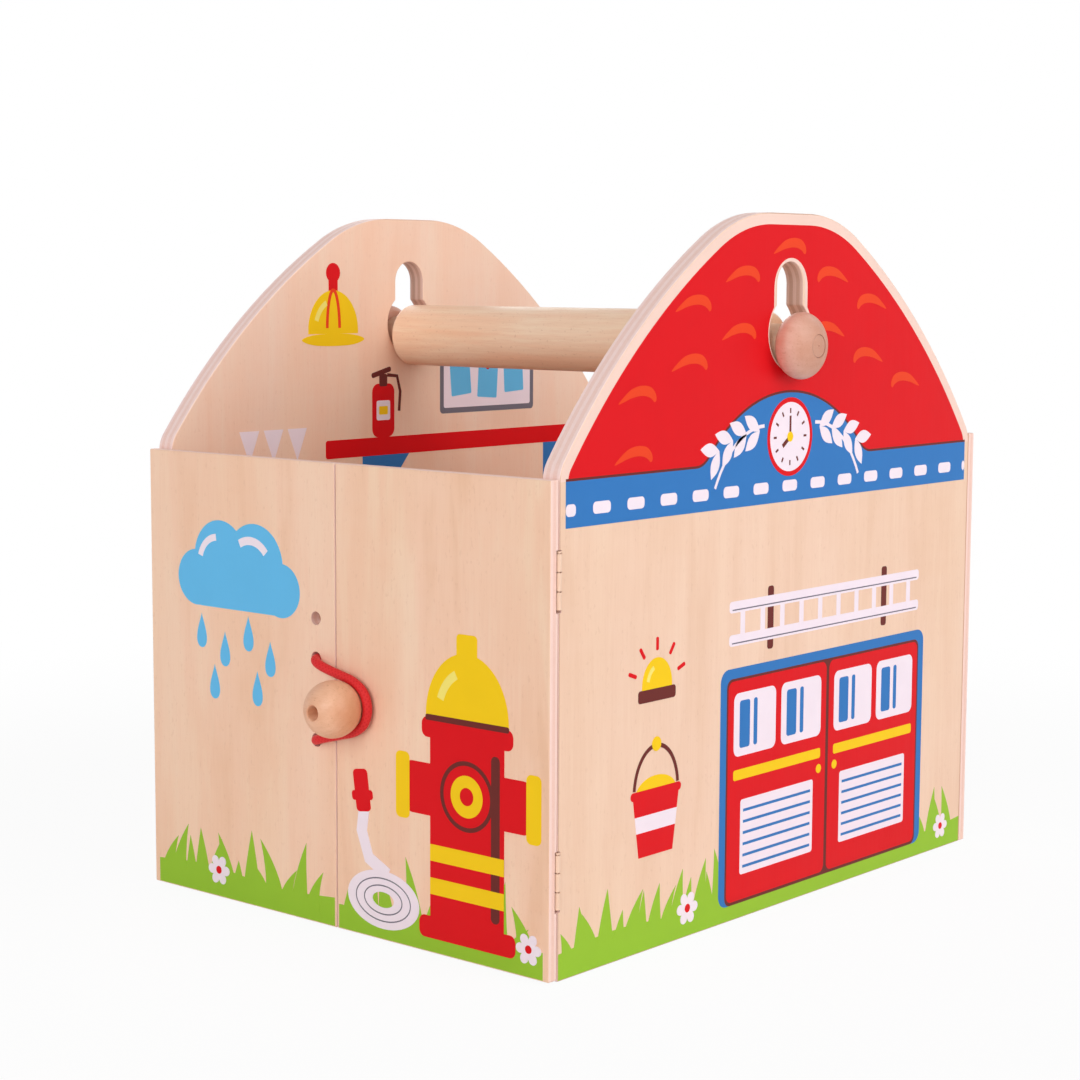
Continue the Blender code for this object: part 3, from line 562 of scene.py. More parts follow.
def grid_quads(rows, columns, close_rows):
    """Faces of a grid of points, row by row, each row closed, and the rows too where asked."""
    row = np.arange(rows if close_rows else rows - 1)[:, None]
    column = np.arange(columns)[None, :]
    after_row, after_column = (row + 1) % rows, (column + 1) % columns
    quads = (
        row * columns + column,
        row * columns + after_column,
        after_row * columns + after_column,
        after_row * columns + column,
    )
    return np.stack([corner.ravel() for corner in quads], axis=1).tolist()


def turned_piece(name, node, profile, place, axis, material, body):
    """Piece turned from profile points (along, radius), in place of a CAD node.

    A point is place + axis times along + radius times (up times cos angle + axis x up times sin angle). A
    profile that begins and ends on the axis is closed with a fan at each pole, and any other one is
    closed on itself.
    """
    axis = np.array(axis, float)
    angle = np.linspace(0, 2 * np.pi, TURNED_SIDES, endpoint=False)
    spokes = np.cos(angle)[:, None] * UP + np.sin(angle)[:, None] * np.cross(axis, UP)
    to_poles = profile[0, 1] == 0
    inner = profile[1:-1] if to_poles else profile
    rings = inner[:, 0, None, None] * axis + inner[:, 1, None, None] * spokes
    vertices = place + rings.reshape(-1, 3)
    faces = grid_quads(len(inner), TURNED_SIDES, not to_poles)
    if to_poles:
        first, last, top = len(vertices), len(vertices) + 1, len(vertices) - TURNED_SIDES
        vertices = np.concatenate((vertices, place + profile[[0, -1], 0, None] * axis))
        for side in range(TURNED_SIDES):
            after = (side + 1) % TURNED_SIDES
            faces += [[after, side, first], [top + side, top + after, last]]
    faces = [face[::-1] for face in faces]
    piece = link_mesh(name, vertices, faces, True, material, body)
    piece.data.set_sharp_from_angle(angle=SHARP_ANGLE)
    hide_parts(node)


def arc(centre, radius, start, end, points=16):
    """Points on a circle's arc, angles in degrees; a pair of radii makes it an ellipse's arc."""
    angle = np.radians(np.linspace(start, end, points))
    radii = np.broadcast_to(np.asarray(radius, float), (2,))
    return np.array(centre) + np.stack((radii[0] * np.cos(angle), radii[1] * np.sin(angle)), axis=1)


def disc(centre, radius, points=48):
    return arc(centre, radius, 0, 360 * (1 - 1 / points), points)


def dome(radii, base, foot, points):
    """Upper half of an ellipse, with straight sides down to a flat foot."""
    return np.concatenate((arc((0, base), radii, 0, 180, points), ((-radii[0], foot), (radii[0], foot))))


def taper(low, low_half, high, high_half):
    """Four-sided outline with level ends of different widths."""
    return np.array(((-low_half, low), (low_half, low), (high_half, high), (-high_half, high)))


def tile(left, right, low, high, corner=0.0):
    """Rectangle, its corners rounded with quarter circles."""
    if corner == 0:
        return np.array(((left, low), (right, low), (right, high), (left, high)), float)
    centres = (
        (right - corner, low + corner),
        (right - corner, high - corner),
        (left + corner, high - corner),
        (left + corner, low + corner),
    )
    return np.concatenate([
        arc(centre, corner, 90 * number - 90, 90 * number, 7) for number, centre in enumerate(centres)
    ])


def soft_outline(points, steps=6):
    """Closed smooth outline through given points, a Catmull-Rom cubic on each stretch."""
    here = np.asarray(points, float)
    before, after, beyond = np.roll(here, 1, 0), np.roll(here, -1, 0), np.roll(here, -2, 0)
    t = np.linspace(0, 1, steps, endpoint=False)[None, :, None]
    p0, p1, p2, p3 = (part[:, None, :] for part in (before, here, after, beyond))
    line = p1 + 0.5 * t * (p2 - p0 + t * (2 * p0 - 5 * p1 + 4 * p2 - p3 + t * (3 * (p1 - p2) + p3 - p0)))
    return line.reshape(-1, 2)


def ribbon(path, width):
    """Strip along an open path: half its width to the left going out, and to the right coming back."""
    path = np.asarray(path, float)
    along = unit(np.gradient(path, axis=0))
    aside = np.stack((-along[:, 1], along[:, 0]), axis=1)
    half = np.broadcast_to(np.asarray(width, float), (len(path),))[:, None] / 2
    return np.concatenate((path + aside * half, (path - aside * half)[::-1]))


def placed(outline, move=(0.0, 0.0), turn=0.0, size=1.0):
    """Outline scaled and turned about its own zero, in degrees, and then moved."""
    angle = np.radians(turn)
    rotation = np.array(((np.cos(angle), np.sin(angle)), (-np.sin(angle), np.cos(angle)))) * size
    return outline @ rotation + move


def loops_of(shape):
    """Loops of a shape, which is one outline or a list of an outline and its holes."""
    return shape if isinstance(shape, list) else [shape]


def at(across, up, motif, size=1.0):
    """Motif, a list of (ink, layer, shapes), scaled about its own zero and moved to its place."""
    def moved(shape):
        return [placed(loop, (across, up), size=size) for loop in loops_of(shape)]

    return [(ink, layer, [moved(shape) for shape in shapes]) for ink, layer, shapes in motif]


def gable_line(inset, foot):
    """Right half of a gable's edge in (across, up), moved in by an inset: concentric arcs to the foot."""
    reach = CROWN_FLAT + CROWN_RADIUS * np.sin(CROWN_ANGLE) + EAVES_RADIUS * (1 - np.sin(SLOPE_ANGLE))
    slope_radius = (GABLE_HALF - reach) / (np.sin(SLOPE_ANGLE) - np.sin(CROWN_ANGLE))
    crown = np.array((CROWN_FLAT, GABLE_CROWN - CROWN_RADIUS))
    toward = np.array((np.sin(CROWN_ANGLE), np.cos(CROWN_ANGLE)))
    slope = crown + toward * (CROWN_RADIUS - slope_radius)
    toward = np.array((np.sin(SLOPE_ANGLE), np.cos(SLOPE_ANGLE)))
    eaves = slope + toward * (slope_radius - EAVES_RADIUS)
    crown_end, slope_end = 90 - np.degrees(CROWN_ANGLE), 90 - np.degrees(SLOPE_ANGLE)
    line = np.concatenate((
        arc(crown, CROWN_RADIUS - inset, 90, crown_end, 20),
        arc(slope, slope_radius - inset, crown_end, slope_end, 24),
        arc(eaves, EAVES_RADIUS - inset, slope_end, 0, 10),
    ))
    line = line[line[:, 1] > foot]
    return np.concatenate((line, ((line[-1, 0], foot),)))


def keyhole_line(keyhole, growth=0.0):
    """Outline of a keyhole, grown all round: a slot's sides run down into a wider round."""
    shift, top, slot_radius, round_radius = keyhole
    slot_centre = (shift, top - slot_radius)
    slot_radius, round_radius = slot_radius + growth, round_radius + growth
    lean = np.degrees(np.arccos(slot_radius / round_radius))
    return np.concatenate((
        arc(slot_centre, slot_radius, 0, 180, 20),
        arc((shift, ROUND_HEIGHT), round_radius, 180 - lean, 360 + lean, 40),
    ))


def signed_area(outline):
    """Area of an outline, negative if it runs clockwise."""
    after = np.roll(outline, -1, 0)
    return 0.5 * np.sum(outline[:, 0] * after[:, 1] - after[:, 0] * outline[:, 1])


def inside(outline, points):
    """Whether each point lies in an outline, by counting crossings of a level line to its right.

    A level edge is never crossed, and a hair added to its rise lets the rest be worked out all at once.
    """
    hair = 1e-12
    start, end = outline, np.roll(outline, -1, 0)
    x, y = points[:, 0, None], points[:, 1, None]
    spans = (start[:, 1] > y) != (end[:, 1] > y)
    rise = end[:, 1] - start[:, 1] + hair
    cross = start[:, 0] + (y - start[:, 1]) * (end[:, 0] - start[:, 0]) / rise
    return (spans & (x < cross)).sum(axis=1) % 2 == 1


def slab(loops, top):
    """Closed slab (across, up, lift) from an outline and its holes: flat caps and a wall round each loop.

    The outline runs anticlockwise and the holes clockwise, so that a wall's quads face out of the ink.
    """
    loops = [
        loop if (signed_area(loop) > 0) == (number == 0) else loop[::-1]
        for number, loop in enumerate(loops)
    ]
    flat = np.concatenate(loops)
    caps = [np.array(cap) for cap in tessellate_polygon([np.pad(loop, ((0, 0), (0, 1))) for loop in loops])]
    caps = np.array([cap if signed_area(flat[cap]) > 0 else cap[::-1] for cap in caps])
    count = len(flat)
    vertices = np.pad(np.concatenate((flat, flat)), ((0, 0), (0, 1)))
    vertices[:, 2] = np.repeat((-INK_DEPTH, top), count)
    faces = (caps + count).tolist() + caps[:, ::-1].tolist()
    first = 0
    for loop in loops:
        here = first + np.arange(len(loop))
        after = np.roll(here, -1)
        faces += np.stack((here, after, after + count, here + count), axis=1).tolist()
        first += len(loop)
    return vertices, faces


def lay_print(name, body, zero, across, motif):
    """Print a face of the case: each ink and layer of the motif becomes one piece.

    Zero is the middle of the face's foot, and across points to the right as one looks at the face.
    """
    directions = np.array((across, UP, np.cross(across, UP)), float)
    plates = {}
    for ink, layer, shapes in motif:
        plates.setdefault((ink, layer), []).extend(shapes)
    for (ink, layer), shapes in plates.items():
        vertices, faces, count = [], [], 0
        for number, shape in enumerate(shapes):
            top = INK_LIFT + LAYER_STEP * layer + SHAPE_STEP * (number % SHAPE_STEPS)
            points, quads = slab(loops_of(shape), top)
            vertices.append(points)
            faces += [[corner + count for corner in face] for face in quads]
            count += len(points)
        vertices = zero + MM * np.concatenate(vertices) @ directions
        plate = f"{name}_{ink}_coat_{layer + 1}"
        link_mesh(plate, vertices, faces, False, INK_MATERIALS[ink], body)


def sanded_margin():
    """Pale strip that sanding leaves along a gable's curved edge and round its keyhole."""
    outer, inner = gable_line(EDGE_MARGIN, ROOF_FOOT), gable_line(ROOF_MARGIN + 0.1, ROOF_FOOT)
    arch = np.concatenate((outer[::-1] * (-1, 1), outer, inner[::-1], inner * (-1, 1)))
    return [("sanded", -1, [arch, [keyhole_line(KEYHOLE_RIM, 0.1), keyhole_line(KEYHOLE, 0.15)]])]


def roof():
    """Red roof field with a bare rim at the keyhole, and orange tile marks in staggered columns.

    A mark is a crescent with a round end towards the middle of the roof and a thin tip away from it. It
    is left out where it would pass the field's edge, the rim, the arch below or the knob.
    """
    right = gable_line(ROOF_MARGIN, ROOF_FOOT)
    field = np.concatenate((right[::-1] * (-1, 1), right))
    rim = keyhole_line(KEYHOLE_RIM)
    mark = soft_outline((
        (-9.4, -2.6), (-6.6, -0.4), (-3.0, 1.6), (1.4, 2.4), (5.4, 1.9), (7.7, 0.2), (8.3, -1.8),
        (7.4, -2.6), (5.9, -1.5), (3.4, -0.7), (0.0, -0.6), (-3.8, -1.2), (-6.6, -2.0),
    ), 4)
    arch = dome((62, 24), ROOF_FOOT, 120, 30)
    knob = disc((0, KNOB_HEIGHT), 12.5)
    column_step, row_step, row_shift, top_row, margin = 24.0, 8.7, -0.8, 210.0, 1.05
    marks = []
    for row in range(9):
        for column in range(row % 2 - 4, 5, 2):
            place = (column * column_step + row_shift * row, top_row - row_step * row)
            here = mark * (-1, 1) if column > 0 else mark
            grown = here * margin + place
            covered = inside(arch, grown).any() or inside(rim, grown).any()
            if inside(field, grown).all() and not covered and not inside(knob, here + place).any():
                marks.append(here + place)
    return [("red", 0, [[field, rim]]), ("orange", 1, marks)]


def fascia():
    """Blue band with an arched middle, a thin dark line over it and white rounded dashes."""
    half = GABLE_HALF - 2.6
    arch_radius, arch_top, fillet, line_width = 56.0, 164.3, 9.0, 1.5
    arch_centre = arch_top - arch_radius
    join = ROOF_FOOT + fillet
    swing = np.degrees(np.arcsin((join - arch_centre) / (arch_radius + fillet)))
    foot = (arch_radius + fillet) * np.cos(np.radians(swing))
    top_line = np.concatenate((
        ((-half, ROOF_FOOT),),
        arc((-foot, join), fillet, -90, -swing, 8),
        arc((0, arch_centre), arch_radius, 180 - swing, swing, 32),
        arc((foot, join), fillet, 180 + swing, 270, 8),
        ((half, ROOF_FOOT),),
    ))
    band = np.concatenate((top_line, ((half, FASCIA_FOOT), (-half, FASCIA_FOOT))))
    spacing, shift, length, width, height = 15.65, 1.3, 8.0, 3.5, 135.0
    dashes = []
    for place in shift + spacing * np.arange(-7, 8):
        start, end = np.clip((place - length / 2, place + length / 2), -half, half)
        dashes.append(tile(start, end, height - width / 2, height + width / 2, 1.3))
    return [("maroon", 1, [ribbon(top_line, line_width)]), ("blue", 2, [band]), ("white", 3, dashes)]


def medallion():
    """Plain clock with a red rim in the arch, and a white sprig of leaves on each side."""
    middle = np.array((1.0, 150.4))
    share = np.linspace(0, 1, 12)
    rib, swell = 9.5 * share, 2.1 * np.sin(np.pi * share)
    leaf = np.concatenate((np.stack((rib, swell), axis=1), np.stack((rib, -swell), axis=1)[-2:0:-1]))
    leaves = []
    for side in (-1, 1):
        for number in range(4):
            root = middle + (side * (16.5 + 7.0 * number), 2.5 - 0.55 * number**2)
            leaves += [placed(leaf, turn=lean - 9 * number) * (side, 1) + root for lean in (32, -38)]
    stems = [
        ribbon(middle + arc((side * 14.0, -34.0), (30, 38), 90, 90 - side * 58, 14), 1.1) for side in (-1, 1)
    ]
    hours = [placed(tile(7.4, 9.0, -0.35, 0.35), middle, 30.0 * hour) for hour in range(12)]
    long_hand = placed(tile(-1.2, 6.6, -0.5, 0.5), middle, 90)
    short_hand = placed(tile(-1.2, 5.0, -0.7, 0.7), middle, 215)
    return [
        ("white", 3, leaves + stems),
        ("red", 4, [disc(middle, 12.4)]),
        ("white", 5, [disc(middle, 10.9)]),
        ("maroon", 6, [*hours, long_hand, short_hand]),
        ("yellow", 7, [disc(middle, 1.6)]),
    ]


def grass(left, right, foot, seed):
    """Strip of ground with leaf-like blades, short and tall by turns.

    A blade leans over with a power of the way up it, and narrows to its tip with another.
    """
    draw = np.random.default_rng(seed)
    across = np.linspace(left, right, 40)
    hills = np.stack((across, foot + 8.4 + np.sin(across / 11.0 + seed)), axis=1)
    ground = np.concatenate((hills, ((right, foot), (left, foot))))
    share = np.linspace(0, 1, 12)
    root, heights, widths = 3.0, ((13.0, 19.0), (19.0, 27.0)), ((5.6, 7.0), (7.4, 8.6))
    most_lean, edge, first, last, steps = 6.5, 0.5, 4.4, 4.2, (5.0, 6.4)
    blades = []
    place = left + first
    while place < right - last:
        kind = len(blades) % 2
        tall = draw.uniform(*heights[kind])
        tip = np.clip(place + draw.uniform(-most_lean, most_lean), left + edge, right - edge)
        path = (place + (tip - place) * share**1.8, foot + root + (tall - root) * share)
        width = draw.uniform(*widths[kind])
        blades.append(ribbon(np.stack(path, axis=1), width * (1 - share**1.3) + 0.02))
        place += draw.uniform(*steps)
    return [("green", -1, [ground]), ("green", 0, blades)]


def daisies(*places):
    """Six-petalled flowers, each given as (across, up, radius), whose radius swells six times round."""
    angle = np.linspace(0, 2 * np.pi, 72, endpoint=False)
    reach = 0.60 + 0.40 * np.abs(np.cos(3 * angle)) ** 0.7
    flower = np.stack((reach * np.cos(angle), reach * np.sin(angle)), axis=1)
    petals = [flower * radius + (x, y) for x, y, radius in places]
    return [("white", 6, petals), ("red", 7, [disc((x, y), radius * 0.26, 20) for x, y, radius in places])]


def fire_bucket():
    """Red bucket of sand on a peg: tapered sides, a white belt, a yellow heap and an arched handle."""
    return [
        ("yellow", 2, [dome((9.8, 5.4), 5.6, 5.0, 20)]),
        ("maroon", 2, [ribbon(arc((0, 6), (10.6, 14.0), 6, 174, 28), 1.3)]),
        ("red", 3, [taper(-13, 8.2, 6, 11.2), tile(-12.2, 12.2, 4.6, 7.2, 1.2)]),
        ("white", 4, [taper(-5.5, 9.4, -0.5, 10.2)]),
        ("yellow", 5, [disc((0, 20.4), 2.2, 24)]),
    ]


def garage():
    """Double garage door in a blue frame: window panes, a louvre and a yellow band on each leaf."""
    left, right, foot, top = -34.0, 84.0, 5.0, 80.0
    middle, frame_width, gap, space, lap = (left + right) / 2, 4.0, 0.8, 3.0, 0.8
    opening = tile(left + frame_width - lap, right - frame_width + lap, foot, top - frame_width + lap, 2.8)
    leaves, panes, glints, bands, slats = [], [], [], [], []
    for start, end in ((left + frame_width, middle - gap), (middle + gap, right - frame_width)):
        leaves.append(tile(start, end, foot + 1, top - frame_width, 2.5))
        width = (end - start - 3 * space) / 2
        for low in (start + space, start + 2 * space + width):
            panes.append(tile(low, low + width, 52.0, 72.0, 2.5))
            glints.append(tile(low + 3.0, low + 8.5, 54.5, 69.5, 1.0))
            glints.append(tile(low + 10.5, low + 12.5, 54.5, 69.5, 0.8))
        panes.append(tile(start + 7.0, end - 7.0, 14.0, 38.0, 1.0))
        bands.append(tile(start + space, end - space, 44.5, 47.8, 0.8))
        slats += [tile(start + 8.5, end - 8.5, 16.0 + 3.6 * row, 16.9 + 3.6 * row) for row in range(6)]
    knobs = [disc((middle + side * 4.6, 41.0), 1.5, 20) for side in (-1, 1)]
    return [
        ("blue", 1, [tile(left, right, foot, top, 4.0)]),
        ("maroon", 2, [opening]),
        ("red", 3, leaves),
        ("white", 4, panes),
        ("yellow", 4, bands + knobs),
        ("blue", 5, glints + slats),
    ]


def ladder():
    """White ladder hung level on two hooks."""
    left, right, low, high = -30.0, 80.0, 87.0, 101.0
    rails = [tile(left, right, low, low + 3.6, 1.2), tile(left, right, high - 3.6, high, 1.2)]
    places = np.arange(left + 7, right - 3, 10.7)
    rungs = [tile(place - 1.2, place + 1.2, low + 2, high - 2) for place in places]
    hooks = [tile(place - 1.6, place + 1.6, low - 3.0, high + 3.0, 1.0) for place in (left + 22, right - 22)]
    edges = [ribbon(((left + 1.5, level), (right - 1.5, level)), 0.4) for level in (low + 0.9, high - 2.7)]
    return [("maroon", 1, hooks), ("white", 2, rails + rungs), ("grey", 3, edges)]


def beacon():
    """Yellow alarm lamp on a dark foot, with short red rays."""
    ray = tile(10.5, 14.5, -0.6, 0.6, 0.5)
    return [
        ("yellow", 3, [dome((7.2, 8.4), 0, -1.0, 24)]),
        ("pale_yellow", 4, [ribbon(arc((0, 0), (4.6, 5.8), 110, 165, 10), 1.4)]),
        ("maroon", 4, [tile(-9.0, 9.0, -4.6, -0.8, 1.0)]),
        ("red", 3, [placed(ray, turn=angle) for angle in (20, 55, 90, 125, 160)]),
    ]


def hydrant():
    """Fire hydrant: flanged red barrel with yellow bands and bonnet, and a cap on each side."""
    barrel, arms = tile(-13, 13, 4, 62, 2.0), tile(-22, 22, 33, 47, 2.5)
    flanges = [tile(-17, 17, 0, 6, 2.0), tile(-16, 16, 54, 59.5, 2.0)]
    bonnet, nut = dome((14.5, 17.5), 60, 59.0, 30), tile(-3.6, 3.6, 75, 82.5, 1.2)
    caps = [tile(-25.5, -20.5, 31, 49, 1.6), tile(20.5, 25.5, 31, 49, 1.6)]
    belts = [tile(-13, 13, 12, 16.5), tile(-13, 13, 21, 25.5)]
    outer, rim, cap, hole = (disc((0, 40), radius) for radius in (9.4, 8.2, 5.6, 2.4))
    return [
        ("red", 2, [barrel, *flanges, arms]),
        ("maroon", 3, [[outer, rim], tile(8.5, 11.5, 8.0, 52.0, 1.4)]),
        ("yellow", 3, [bonnet, nut, *caps]),
        ("yellow", 4, [*belts, [cap, hole]]),
        ("pale_yellow", 4, [ribbon(arc((0, 60), (10, 12.5), 112, 158, 12), 2.4)]),
        ("maroon", 5, [tile(-14.6, 14.6, 58.6, 60.2, 0.6)]),
    ]


def rain_cloud():
    """Light blue cloud of overlapping rounds with a white belly, and drops that fall from it."""
    lobes = ((-19, 0, 9), (-8, 7, 12), (8, 6, 13), (20, -1, 8.5))
    cloud = [disc((x, y), radius) for x, y, radius in lobes] + [tile(-21, 22, -9, 4, 4.0)]
    belly = [ribbon(arc((6, 4), 9.5, 40, 120, 14), 2.6), ribbon(arc((-9, 5), 8.5, 95, 165, 12), 2.2)]
    angle = np.linspace(0, 2 * np.pi, 32, endpoint=False)
    drop = np.stack((3.4 * np.sin(angle) * np.sin(angle / 2) ** 1.6, 5.6 * np.cos(angle)), axis=1)
    places = ((-17, -17), (-6, -22), (5, -16), (15, -23), (-11, -33), (9, -33))
    return [("light_blue", 1, cloud + [drop + place for place in places]), ("white", 2, belly)]


def hose_coil():
    """White hose lying in a flat coil with a red nozzle, seen a little from above."""
    coil = [arc((0, 0), (15.0, 9.0), 0, 352, 48), arc((0, 0), (4.5, 2.4), 0, 345, 30)]
    lines = [
        [arc((0, 0), (across - thin, up - thin), 0, 353, 48) for thin in (0.0, 0.4)]
        for across, up in ((11.6, 6.8), (8.1, 4.6))
    ]
    tail = ribbon(((2, 8), (-6, 12), (-9, 20), (-8, 27)), 4.4)
    nozzle = [tile(-3.0, 3.0, 0, 13, 1.4), tile(-4.4, 4.4, 3.5, 6.5, 1.0)]
    return [
        ("white", 5, [coil, tail]),
        ("grey", 6, lines),
        ("red", 6, [placed(outline, (-8, 26), 8) for outline in nozzle]),
    ]


def helmet():
    """Yellow helmet on a red hook: a domed crown, a brim and a pale glint."""
    brim = ((-15, -6), (-8, -4.2), (8, -4.2), (15, -6), (8, -8.0), (-8, -8.0))
    return [
        ("red", 0, [tile(-2.2, 2.2, 8, 18, 1.6), disc((0, 17), 3.4, 24)]),
        ("yellow", 1, [dome((12.0, 14.0), -3, -4, 32)]),
        ("orange", 2, [ribbon(arc((0, -3), (3.0, 14.0), 4, 176, 20), 1.3)]),
        ("pale_yellow", 2, [ribbon(arc((0, -3), (8.6, 10.4), 112, 160, 12), 1.9)]),
        ("yellow", 3, [soft_outline(brim)]),
    ]


def extinguisher():
    """Red cylinder with a dark neck, a grip and a short hose."""
    hose = ribbon(((2, 10), (7, 9.5), (8.6, 4), (8, -3)), 1.3)
    return [
        ("red", 0, [tile(-5.6, 5.6, -12, 7, 3.0)]),
        ("maroon", 1, [tile(-2, 2, 6, 10.4, 0.8), hose]),
        ("maroon", 2, [placed(tile(-5, 5, -0.9, 0.9, 0.8), (-1, 11), 14)]),
        ("white", 2, [tile(-3.4, 3.4, -6, 1, 0.8)]),
        ("yellow", 3, [tile(-2.2, 2.2, -4, -1, 0.4)]),
    ]


def notice_board():
    """White board in a grey frame, with light blue notes pinned askew."""
    sheets = ((-15.0, 0.6, 5), (0.0, -0.8, -4), (14.5, 1.0, 3))
    note = tile(-5.4, 5.4, -6.6, 6.6, 0.6)
    return [
        ("grey", 0, [tile(-26, 26, -12.5, 12.5, 1.5)]),
        ("white", 1, [tile(-24, 24, -10.5, 10.5, 0.8)]),
        ("light_blue", 2, [placed(note, (x, y), turn) for x, y, turn in sheets]),
        ("red", 3, [disc((x, y + 5.0), 1.2, 16) for x, y, turn in sheets]),
    ]


def shelf(start, end, high):
    """Red shelf board on two blue brackets, each with one long straight brace."""
    way = np.sign(end - start)
    brackets = [
        np.array(((place, high - 6.0), (place + way * 24.0, high - 6.0), (place, high - 34.0)))
        for place in (start + way * 18.0, end - way * 30.0)
    ]
    board = tile(*np.sort((start, end)), high - 6.4, high, 1.0)
    return [("blue", 1, brackets), ("red", 2, [board])]


def pennants():
    """Row of small white flags."""
    return [("white", 1, [np.array(((x, 0), (x + 9, 0), (x + 4.5, -11))) for x in (0, 11, 22)])]


def windows(places, high):
    """Blue-framed windows in a row, each with four pale panes and glints over a red sill."""
    panes = [tile(x, x + 12.5, y, y + 14.0, 1.0) for x in (-13.5, 1.0) for y in (-15.0, 1.0)]
    glint = placed(tile(-0.8, 0.8, -4.5, 4.5, 0.6), turn=-35)
    window = [
        ("blue", 1, [tile(-17, 17, -18.5, 18.5, 2.0)]),
        ("light_blue", 2, panes),
        ("white", 3, [glint + (x, y) for x in (-7, 7.5) for y in (-8, 8)]),
        ("red", 2, [tile(-19, 19, -23.5, -17.5, 1.2)]),
    ]
    return [plate for place in places for plate in at(place, high, window)]


def gable_room(side, flags):
    """Print inside a gable, mirrored by its side of -1 or 1, with flags from a left end."""
    return [
        *at(side * 38.0, 184.0, helmet()),
        *at(side * 13.5, 155.0, extinguisher()),
        *at(side * -42.0, 162.5, notice_board()),
        *shelf(side * 42.0, side * -104.0, 143.0),
        *at(flags, 148.0, pennants()),
    ]


def print_panels():
    """Print all faces of the case, each seen from its own side."""
    side, half_width = GABLE_HALF - EDGE_MARGIN, RIGHT_OUTSIDE / MM
    leaf_end, seam, leaf_foot = half_width - 2.2, 0.9, 0.9
    gable = [*sanded_margin(), *roof(), *fascia(), *medallion()]
    lay_print("right_wall", "case", (RIGHT_OUTSIDE, 0, 0), (0, 1, 0), [
        *gable,
        *garage(),
        *ladder(),
        *at(-66.0, 42.0, fire_bucket()),
        *at(-66.0, 80.0, beacon()),
        *grass(-side, side, EDGE_MARGIN, 3),
        *daisies((-50.0, 9.0, 5.2), (98.0, 8.0, 4.6)),
    ])
    lay_print("left_wall", "case", (LEFT_OUTSIDE, 0, 0), (0, -1, 0), [
        *gable,
        *windows((-58.0, 0.0, 58.0), 82.0),
        *at(29.0, 38.0, fire_bucket()),
        *at(-62.0, 6.0, hydrant(), 0.55),
        *grass(-side, side, EDGE_MARGIN, 5),
        *daisies((-20.0, 9.0, 5.0), (30.0, 8.0, 4.6)),
    ])
    lay_print("left_room", "case", (LEFT_INSIDE, 0, 0), (0, 1, 0), gable_room(-1, -82.0))
    lay_print("right_room", "case", (RIGHT_INSIDE, 0, 0), (0, -1, 0), gable_room(1, 54.0))
    lay_print("left_leaf", "left_door", (0, FRONT_OUTSIDE, 0), (1, 0, 0), [
        *at(-44.0, 104.0, rain_cloud()),
        *grass(-leaf_end, -seam, leaf_foot, 7),
        *daisies((-54.0, 9.5, 5.0)),
    ])
    lay_print("right_leaf", "right_door", (0, FRONT_OUTSIDE, 0), (1, 0, 0), [
        *at(54.0, 5.0, hydrant(), 1.12),
        *at(20.0, 13.0, hose_coil()),
        *grass(seam, leaf_end, leaf_foot, 11),
        *daisies((78.0, 9.0, 4.8)),
    ])
    for name, place in (("left", 44.0), ("right", -44.0)):
        motif = at(place, 108.0, helmet())
        lay_print(f"{name}_leaf_back", f"{name}_door", (0, FRONT_INSIDE, 0), (-1, 0, 0), motif)
    lay_print("back_wall", "case", (0, BACK_OUTSIDE, 0), (-1, 0, 0), [
        *windows((-46.0, 0.0, 46.0), 88.0),
        *grass(-half_width + 1.0, half_width - 1.0, EDGE_MARGIN, 13),
        *daisies((-30.0, 9.0, 5.0), (50.0, 8.0, 4.6)),
    ])


def run_along(line):
    """Length along a line up to each of its points."""
    return np.concatenate(((0.0,), np.cumsum(np.linalg.norm(np.diff(line, axis=0), axis=1))))


def smooth_cord_line(points, step):
    """Even points on a centripetal Catmull-Rom curve through a cord's route, and its length.

    Knots are spaced by the square root of each stretch's length, and three rounds of blending give the
    curve on all stretches at once. The points are then spread evenly along it.
    """
    points = np.concatenate((2 * points[:1] - points[1:2], points, 2 * points[-1:] - points[-2:-1]))
    gaps = np.sqrt(np.linalg.norm(np.diff(points, axis=0), axis=1))
    p0, p1, p2, p3 = points[:-3, None], points[1:-2, None], points[2:-1, None], points[3:, None]
    t1 = gaps[:-2, None, None]
    t2 = t1 + gaps[1:-1, None, None]
    t3 = t2 + gaps[2:, None, None]
    t = t1 + (t2 - t1) * np.linspace(0, 1, 40, endpoint=False)[None, :, None]
    a1 = p0 + (p1 - p0) * t / t1
    a2 = p1 + (p2 - p1) * (t - t1) / (t2 - t1)
    a3 = p2 + (p3 - p2) * (t - t2) / (t3 - t2)
    b1 = a1 + (a2 - a1) * t / t2
    b2 = a2 + (a3 - a2) * (t - t1) / (t3 - t1)
    curve = (b1 + (b2 - b1) * (t - t1) / (t2 - t1)).reshape(-1, 3)
    curve = np.concatenate((curve, points[-2:-1]))
    run = run_along(curve)
    even = np.linspace(0, run[-1], int(round(run[-1] / step)) + 1)
    return np.stack([np.interp(even, run, curve[:, axis]) for axis in range(3)], axis=1), run[-1]


